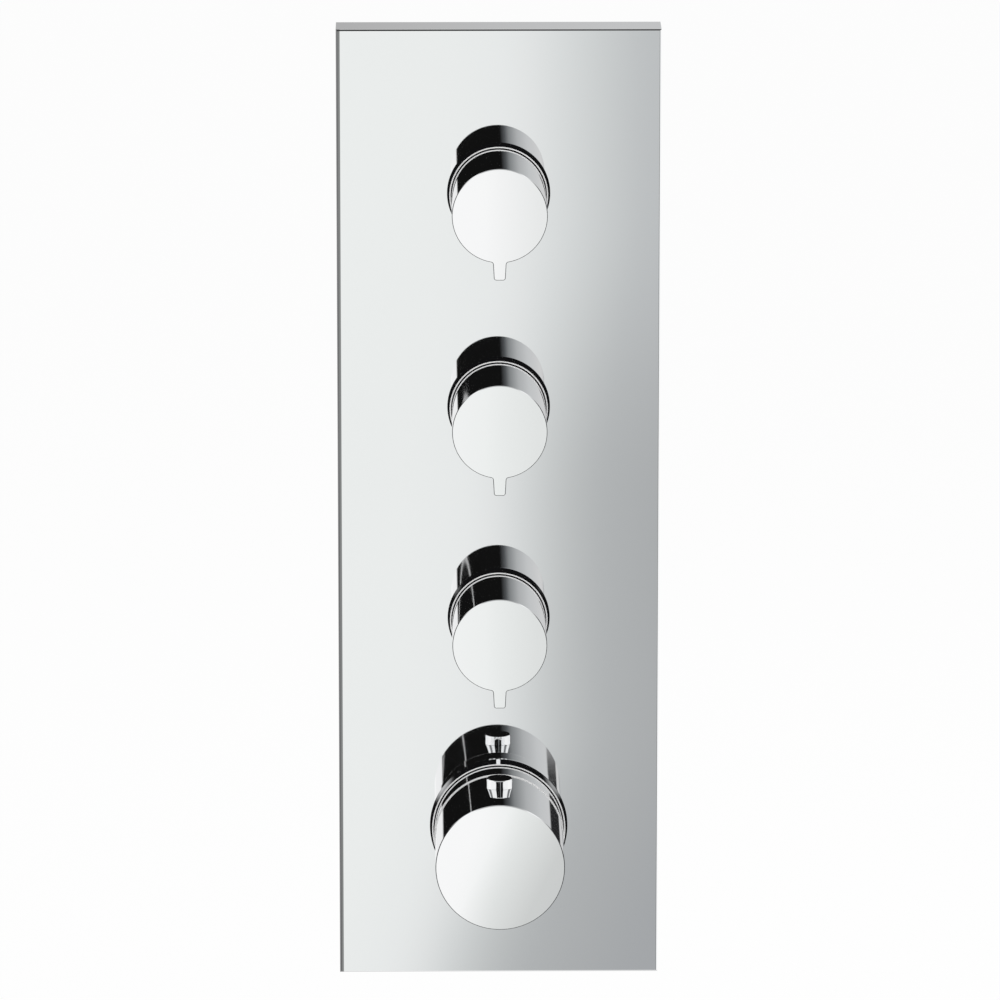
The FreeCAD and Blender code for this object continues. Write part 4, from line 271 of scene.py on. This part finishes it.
# each knob: how deep the bevel round its face is, how far the face leans to the left, as a slope, how much
# shade is painted into its plating towards the right, and how far that painted shade falls with the height
KNOBS = {
    "top_knob": {"bevel": 0.00025, "lean": 0.018, "shade": 0.09, "fall": 0.0},
    "middle_knob": {"bevel": 0.00025, "lean": 0.014, "shade": 0.10, "fall": 0.0},
    "lower_knob": {"bevel": 0.00025, "lean": 0.014, "shade": 0.135, "fall": 0.0},
    "thermostat_handle": {"bevel": 0.0003, "lean": 0.018, "shade": 0.28, "fall": 0.467},
}
LARGE_FACE_DOME = 3.3
# slack in telling a face from what lies behind it
FACE_SLACK = 0.00002
BEVEL_SLACK = 0.0001
RIM_SLACK = 0.00006


def knob_painted_shade(node):
    """Painted shade: the bevel round a knob's face is painted dark but for its lit top, and the face is
    painted a little darker to the right.
    """
    low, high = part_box(node)
    radius = (high.x - low.x) / 2
    axis = AXES[node]
    knob = KNOBS[node]

    def painted_shade_mask(paint, place):
        x, y, z = paint.split(place)
        depth = y - low.y
        up = z - axis
        on_face = depth.below(FACE_SLACK)
        # painted shade on the bevel, but not on its lit top
        on_bevel = (1.0 - on_face) * depth.below(knob["bevel"] + BEVEL_SLACK)
        lit = paint.between(up, radius * 0.55, radius * 0.85)
        # painted shade on the face, growing towards the right
        across = x - up * knob["fall"]
        shade = paint.between(across, -0.3 * radius, 0.8 * radius, "LINEAR") * knob["shade"]
        return on_bevel * (1.0 - lit) + on_face * shade

    return painted_shade_mask


def knob_face(node):
    """A polished face leans by a hair, and the large one swells, so that it mirrors a brighter place."""
    axis = AXES[node]

    def form(paint, place):
        x, y, z = paint.split(place)
        lean = x * KNOBS[node]["lean"]
        if node != "thermostat_handle":
            return lean
        up = z - axis
        return lean - (x * x + up * up) * (0.5 / LARGE_FACE_DOME)

    return form


def front_rim(node):
    """The narrow flat rim at the front of a collar or of the sleeve, painted pale and dull as a highlight."""
    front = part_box(node)[0].y

    def painted_highlight_mask(paint, place):
        return paint.split(place)[1].below(front + RIM_SLACK)

    return painted_highlight_mask


COLLAR_WALL = 0.00128


def collar_gap_painted_shadow(node):
    """The gap between a knob's foot and its collar gets painted shadow: the plating inside it is painted
    dark.
    """
    low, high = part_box(node)
    axis = axis_height(node)
    well = (high.x - low.x) / 2 - COLLAR_WALL

    def painted_shade_mask(paint, place):
        x, y, z = paint.split(place)
        up = z - axis
        # painted shadow inside the gap
        return (x * x + up * up).below(well * well)

    return painted_shade_mask


INLET_BORE = 0.0123
INLET_STEP = 0.0415
INLET_PITCH = 0.001814
BOSS_MOUTH = 0.0124
TURNED_DEPTH = 0.0003


def cast_brass():
    """Sand-blasted casting, with turned faces at the mouths of its bosses and threads in its inlets."""
    made, paint = material("cast_brass")
    place = paint.coordinates()
    x, y, z = paint.split(place)
    grain = paint.noise(place, 1500.0, 3.0, 0.6)
    patch = paint.noise(place, 28.0, 3.0)
    from_inlet = ((y - INLET_DEPTH) * (y - INLET_DEPTH) + (z - HEAT_AXIS) * (z - HEAT_AXIS)).root()
    in_bore = from_inlet.below(INLET_BORE) * x.size().above(INLET_STEP)
    at_end = x.size().above(INLET_END - TURNED_DEPTH)
    turned = in_bore.highest(at_end).highest(y.below(BOSS_MOUTH))
    angle = (y - INLET_DEPTH).turn_from(z - HEAT_AXIS)
    thread = (x.size() * (2 * math.pi / INLET_PITCH) + angle).sine() * in_bore
    height = grain * (1.0 - turned) * 0.25 + thread * 0.5
    paint.surface(
        base_color=paint.mix(patch, (0.50, 0.355, 0.14), (0.62, 0.455, 0.20)),
        metallic=1.0,
        roughness=0.46 - turned * 0.2 + patch * 0.08,
        normal=paint.bump(height, 0.0002, 0.6),
    )
    return made


def turned_brass():
    """Brass with fine tool marks round its axis."""
    made, paint = material("turned_brass")
    place = paint.coordinates()
    rings = paint.noise(paint.stretched(place, (60.0, 4200.0, 60.0)), 1.0, 2.0)
    stain = paint.noise(place, 90.0, 3.0)
    paint.surface(
        base_color=paint.mix(stain, (0.66, 0.49, 0.21), (0.76, 0.59, 0.29)),
        metallic=1.0,
        roughness=0.2 + rings * 0.16,
        normal=paint.bump(rings, 0.00003, 0.35),
    )
    return made


def machined_steel(name, low, high, roughness):
    """Steel with fine marks: screws, strainers and spring wire."""
    made, paint = material(name)
    place = paint.coordinates()
    marks = paint.noise(paint.stretched(place, (300.0, 2600.0, 300.0)), 1.0, 2.0)
    tone = paint.noise(place, 120.0, 2.0)
    paint.surface(
        base_color=paint.mix(tone, low, high),
        metallic=1.0,
        roughness=roughness + marks * 0.12,
        normal=paint.bump(marks, 0.00003, 0.3),
    )
    return made


def galvanised_steel():
    """Zinc-plated sheet with a soft spangle."""
    made, paint = material("galvanised_steel")
    place = paint.coordinates()
    spangle = paint.add("ShaderNodeTexVoronoi", inputs={"Vector": place, "Scale": 260.0}, output="Color")
    shade = paint.split(spangle)[0]
    brush = paint.noise(paint.stretched(place, (40.0, 900.0, 1600.0)), 1.0, 3.0)
    paint.surface(
        base_color=paint.mix(shade * 0.5 + brush * 0.5, (0.52, 0.54, 0.56), (0.70, 0.72, 0.73)),
        metallic=1.0,
        roughness=0.3 + shade * 0.14,
        normal=paint.bump(brush, 0.00004, 0.3),
    )
    return made


def moulded(name, low, high, roughness, grain_depth=0.00003):
    """Moulded plastic or rubber with a fine matt grain."""
    made, paint = material(name)
    place = paint.coordinates()
    grain = paint.noise(place, 1800.0, 3.0, 0.6)
    tone = paint.noise(place, 70.0, 2.0)
    paint.surface(
        base_color=paint.mix(tone, low, high),
        metallic=0.0,
        roughness=roughness + grain * 0.12,
        normal=paint.bump(grain, grain_depth, 0.5),
    )
    return made


def closed_cell_foam():
    """Black foam with open pores at its cut faces."""
    made, paint = material("black_foam")
    place = paint.coordinates()
    cells = paint.add("ShaderNodeTexVoronoi", inputs={"Vector": place, "Scale": 1400.0}, output="Distance")
    paint.surface(
        base_color=paint.mix(cells, (0.02, 0.02, 0.02), (0.055, 0.055, 0.055)),
        metallic=0.0,
        roughness=0.85 + cells * 0.1,
        normal=paint.bump(cells, 0.0002, 0.7),
    )
    return made


FINISHES = {
    "polished_chrome": polished("polished_chrome"),
    "cast_brass": cast_brass(),
    "turned_brass": turned_brass(),
    "stainless_steel": machined_steel("stainless_steel", (0.50, 0.50, 0.49), (0.64, 0.64, 0.63), 0.22),
    "spring_steel": machined_steel("spring_steel", (0.38, 0.38, 0.39), (0.52, 0.52, 0.53), 0.26),
    "galvanised_steel": galvanised_steel(),
    "white_plastic": moulded("white_plastic", (0.74, 0.74, 0.71), (0.80, 0.80, 0.77), 0.42),
    "black_plastic": moulded("black_plastic", (0.025, 0.025, 0.028), (0.045, 0.045, 0.05), 0.38),
    "black_rubber": moulded("black_rubber", (0.014, 0.014, 0.014), (0.028, 0.028, 0.028), 0.6, 0.00005),
    "black_foam": closed_cell_foam(),
    "ceramic": moulded("ceramic", (0.80, 0.80, 0.77), (0.86, 0.86, 0.83), 0.12, 0.00001),
}

# the plate, knobs, collars and sleeve get finishes of their own, with painted shade, painted shadow or
# painted highlights
OWN_FINISHES = {"front_plate": polished("plate_chrome", painted_shade_mask=plate_edge_painted_shade)}
for knob in AXES:
    OWN_FINISHES[knob] = polished(f"{knob}_chrome", knob_painted_shade(knob), knob_face(knob))
# the collars get painted shadow in their gaps and a painted highlight on their front rims
for collar in [f"{place}_collar" for place in KNOB_PLACES + ["thermostat"]]:
    OWN_FINISHES[collar] = polished(f"{collar}_chrome", collar_gap_painted_shadow(collar), painted_highlight_mask=front_rim(collar))
OWN_FINISHES["thermostat_sleeve"] = polished("sleeve_chrome", painted_highlight_mask=front_rim("thermostat_sleeve"))


# ---------------------------------------------------------------------------------------------------------
# Pieces
# ---------------------------------------------------------------------------------------------------------
def deselect_all():
    bpy.ops.object.select_all(action="DESELECT")


def finish_node(node, finish):
    """The node keeps its own form and gets its finish."""
    piece = frame["nodes"][node]
    if not piece.material_slots:
        piece.data.materials.append(None)
    for slot in piece.material_slots:
        slot.material = finish


for entry in frame["record"]["subparts"]:
    node = entry["node"]
    finish_node(node, OWN_FINISHES.get(node, FINISHES[entry["material_slot"]]))


# ---------------------------------------------------------------------------------------------------------
# Studio
# ---------------------------------------------------------------------------------------------------------
FLOOR_DROP = 0.62
FLOOR_FRONT = -0.55
FLOOR_REACH = 7.0
FLOOR_WHITE = 0.95


def studio_floor():
    """A pale floor below the valve. Its near edge lies short of what the plate's face mirrors."""
    deselect_all()
    bpy.ops.mesh.primitive_plane_add(size=1.0, location=(0.0, 0.0, 0.0))
    floor = bpy.context.active_object
    floor.name = "studio_floor"
    bpy.ops.object.mode_set(mode="EDIT")
    bpy.ops.transform.resize(value=(2 * FLOOR_REACH, FLOOR_REACH - FLOOR_FRONT, 1.0))
    bpy.ops.transform.translate(value=(0.0, (FLOOR_REACH + FLOOR_FRONT) / 2, PLATE_LOW.z - FLOOR_DROP))
    bpy.ops.object.mode_set(mode="OBJECT")
    made, paint = material("studio_floor")
    path = paint.node("ShaderNodeLightPath")
    place = paint.coordinates()
    mottle = paint.noise(place, 3.0, 2.0)
    diffuse = paint.node("ShaderNodeBsdfDiffuse", inputs={
        "Color": paint.mix(mottle, (0.80, 0.80, 0.80), (0.84, 0.84, 0.84))})
    plain = paint.node("ShaderNodeEmission", inputs={"Color": grey(1.0), "Strength": 1.0})
    seen = Value(paint, path.outputs["Is Camera Ray"])
    mirrored = Value(paint, path.outputs["Is Glossy Ray"]).highest(
        Value(paint, path.outputs["Is Transmission Ray"]))
    white = seen.highest(mirrored) * FLOOR_WHITE
    whitened = paint.node("ShaderNodeMixShader", inputs=[white, diffuse.outputs[0], plain.outputs[0]])
    clear = paint.node("ShaderNodeBsdfTransparent")
    behind = paint.add("ShaderNodeNewGeometry", output="Backfacing")
    shown = paint.node("ShaderNodeMixShader", inputs=[behind, whitened.outputs[0], clear.outputs[0]])
    paint.node("ShaderNodeOutputMaterial", inputs={"Surface": shown.outputs[0]})
    floor.data.materials.append(made)


def lamp(name, place, width, height, power):
    """A rectangular lamp that faces the plate."""
    deselect_all()
    bpy.ops.object.light_add(type="AREA", location=place)
    made = bpy.context.active_object
    made.name = name
    made.data.shape = "RECTANGLE"
    made.data.size = width
    made.data.size_y = height
    made.data.energy = power
    aim = PLATE_CENTRE - Vector(place)
    made.rotation_euler = aim.to_track_quat("-Z", "Y").to_euler()
    return made


def soft_lamp(name, place, size, power):
    """A square lamp that shows in no reflection."""
    lamp(name, place, size, size, power).visible_glossy = False


def pale_card(paint, lean_x, lean_z):
    """The card straight in front, low: pale on the left, grey on the right, and more so lower down."""
    lower = paint.between(-lean_z, 0.205, 0.245)
    lowest = paint.between(-lean_z, 0.275, 0.305, "LINEAR")
    across = lean_x + lower * 0.0045 + lowest * 0.010
    card = paint.ramp(paint.between(across, -0.06, 0.10, "LINEAR"), [
        (0.0, 1.0), (0.20, 0.99), (0.29, (0.885, 0.905, 0.893)), (0.3925, (0.873, 0.89, 0.88)),
        (0.439, (0.85, 0.868, 0.862)), (0.4606, (0.81, 0.823, 0.82)), (0.478, (0.75, 0.77, 0.768)),
        (0.5166, (0.63, 0.65, 0.65)), (0.5475, (0.543, 0.56, 0.567)), (0.5875, (0.508, 0.522, 0.53)),
        (0.629, (0.47, 0.485, 0.50)), (0.75, (0.45, 0.46, 0.475)), (1.0, (0.45, 0.46, 0.475))])
    return paint.mix(lower * paint.between(across, 0.012, 0.026) * 0.16, card, (0.0, 0.0, 0.0))


def screens_in_front(paint, lean_x, lean_z, z):
    """The half of the room that the plate faces, by how far a direction leans from straight ahead."""
    # bearing: 0 is down, 0.25 left, 0.5 up, 0.75 right and 1 down again
    bearing = lean_x.turn_from(lean_z) / (2 * math.pi) + 0.5
    lean = (lean_x * lean_x + lean_z * lean_z).root()
    ring = paint.ramp(bearing, [
        (0.0, 0.92), (0.150, 0.92), (0.162, 0.006), (0.515, 0.006), (0.548, (0.09, 0.095, 0.10)),
        (0.575, (0.24, 0.25, 0.255)), (0.639, (0.455, 0.465, 0.47)), (0.72, (0.585, 0.595, 0.60)),
        (0.867, 0.668), (0.94, 0.62), (1.0, 0.5)])
    below = paint.between((bearing - 0.5).size(), 0.43, 0.46)
    near = paint.mix(below, ring, pale_card(paint, lean_x, lean_z))
    # a dark post on the right, low enough for the thermostat knob alone
    post = paint.between(bearing, 0.785, 0.80) * (1.0 - paint.between(bearing, 0.88, 0.895))
    near = paint.mix(post * paint.between(lean, 0.272, 0.280), near, (0.02, 0.02, 0.021))
    # round the card the room is dark
    past_ring = paint.between(lean, 0.325, 0.355) * (1.0 - below)
    front = paint.mix(past_ring, near, (0.006, 0.006, 0.0065))
    # then come white screens at both sides, which reach further in low down
    beside = paint.between(lean_x.size() + (-lean_z - 0.3).highest(0.0) * 1.5, 0.62, 0.72)
    front = paint.mix(beside, front, (0.93, 0.935, 0.94))
    # straight above, the room is grey
    return paint.mix(paint.between(z, 0.80, 0.90), front, (0.45, 0.455, 0.46))


def room_behind(paint, x, z):
    """Behind, a plain room: pale floor, grey walls, a bright ceiling."""
    walls = paint.ramp(z * 0.5 + 0.5, [
        (0.0, 0.62), (0.42, 0.70), (0.49, 0.30), (0.56, 0.34), (0.66, 0.62), (0.80, 0.95), (1.0, 1.0)])
    # what the plate's top side mirrors, and the darker walls to its left and right
    over_top = paint.mix(paint.between(x, -0.03, 0.03), (0.40, 0.40, 0.40), (0.56, 0.565, 0.57))
    level = paint.mix(paint.between(x.size(), 0.35, 0.6), over_top, (0.20, 0.205, 0.21))
    return paint.mix(paint.between(z.size(), 0.3, 0.5), level, walls)


def studio_world():
    """What the chrome mirrors, by direction. The camera sees white, and matt surfaces get an even light.

    Directions are told by how far they lean from the way the plate faces: lean_x to the right and lean_z up.
    """
    world = bpy.data.worlds.new("studio")
    bpy.context.scene.world = world
    world.use_nodes = True
    paint = Paint(world.node_tree)
    x, y, z = paint.split(paint.add("ShaderNodeTexCoord", output="Generated"))
    forward = (-y).highest(0.02)
    front = screens_in_front(paint, x / forward, z / forward, z)
    mirrored = paint.mix(paint.between(y, -0.12, 0.02), front, room_behind(paint, x, z))
    path = paint.node("ShaderNodeLightPath")
    seen = Value(paint, path.outputs["Is Camera Ray"])
    soft = Value(paint, path.outputs["Is Diffuse Ray"])
    lit = paint.mix(soft, mirrored, (0.62, 0.62, 0.62))
    colour = paint.mix(seen, lit, (1.0, 1.0, 1.0))
    background = paint.node("ShaderNodeBackground", inputs={"Color": colour, "Strength": 1.0})
    paint.node("ShaderNodeOutputWorld", inputs={"Surface": background.outputs[0]})


studio_floor()
# the narrow upright lamp shows as a fine streak on the round sides
lamp("strip_lamp", (-0.249, -1.0, 0.0), 0.004, 0.5, 0.0035)
soft_lamp("key_lamp", (-1.3, -1.6, 1.7), 1.6, 24.0)
soft_lamp("fill_lamp", (1.8, -1.2, 0.6), 1.8, 10.0)
soft_lamp("rear_lamp", (0.8, 2.2, 1.4), 1.6, 26.0)
studio_world()

# ---------------------------------------------------------------------------------------------------------
# Camera, at the photograph's height above the plate
# ---------------------------------------------------------------------------------------------------------
CAMERA_BACK = 3.0
CAMERA_RISE = 0.734
CAMERA_LEFT = 0.03
AIM_RIGHT = 0.0005
AIM_RISE = 0.0027
PIXELS_PER_METRE = 2680.0
FRAME_PIXELS = 1000.0
SENSOR = 36.0

aim_point = Vector((PLATE_CENTRE.x + AIM_RIGHT, PLATE_LOW.y, PLATE_CENTRE.z + AIM_RISE))
camera_place = Vector((PLATE_CENTRE.x - CAMERA_LEFT, PLATE_LOW.y - CAMERA_BACK, PLATE_CENTRE.z + CAMERA_RISE))
camera_data = bpy.data.cameras.new("camera")
camera = bpy.data.objects.new("camera", camera_data)
bpy.context.scene.collection.objects.link(camera)
camera.location = camera_place
camera.rotation_mode = "QUATERNION"
camera.rotation_quaternion = (aim_point - camera_place).to_track_quat("-Z", "Y")
camera_data.sensor_width = SENSOR
distance = (aim_point - camera_place).length
camera_data.lens = SENSOR * distance * PIXELS_PER_METRE / FRAME_PIXELS
camera_data.clip_end = 60.0
bpy.context.scene.camera = camera

bpy.context.scene.view_settings.view_transform = "Standard"
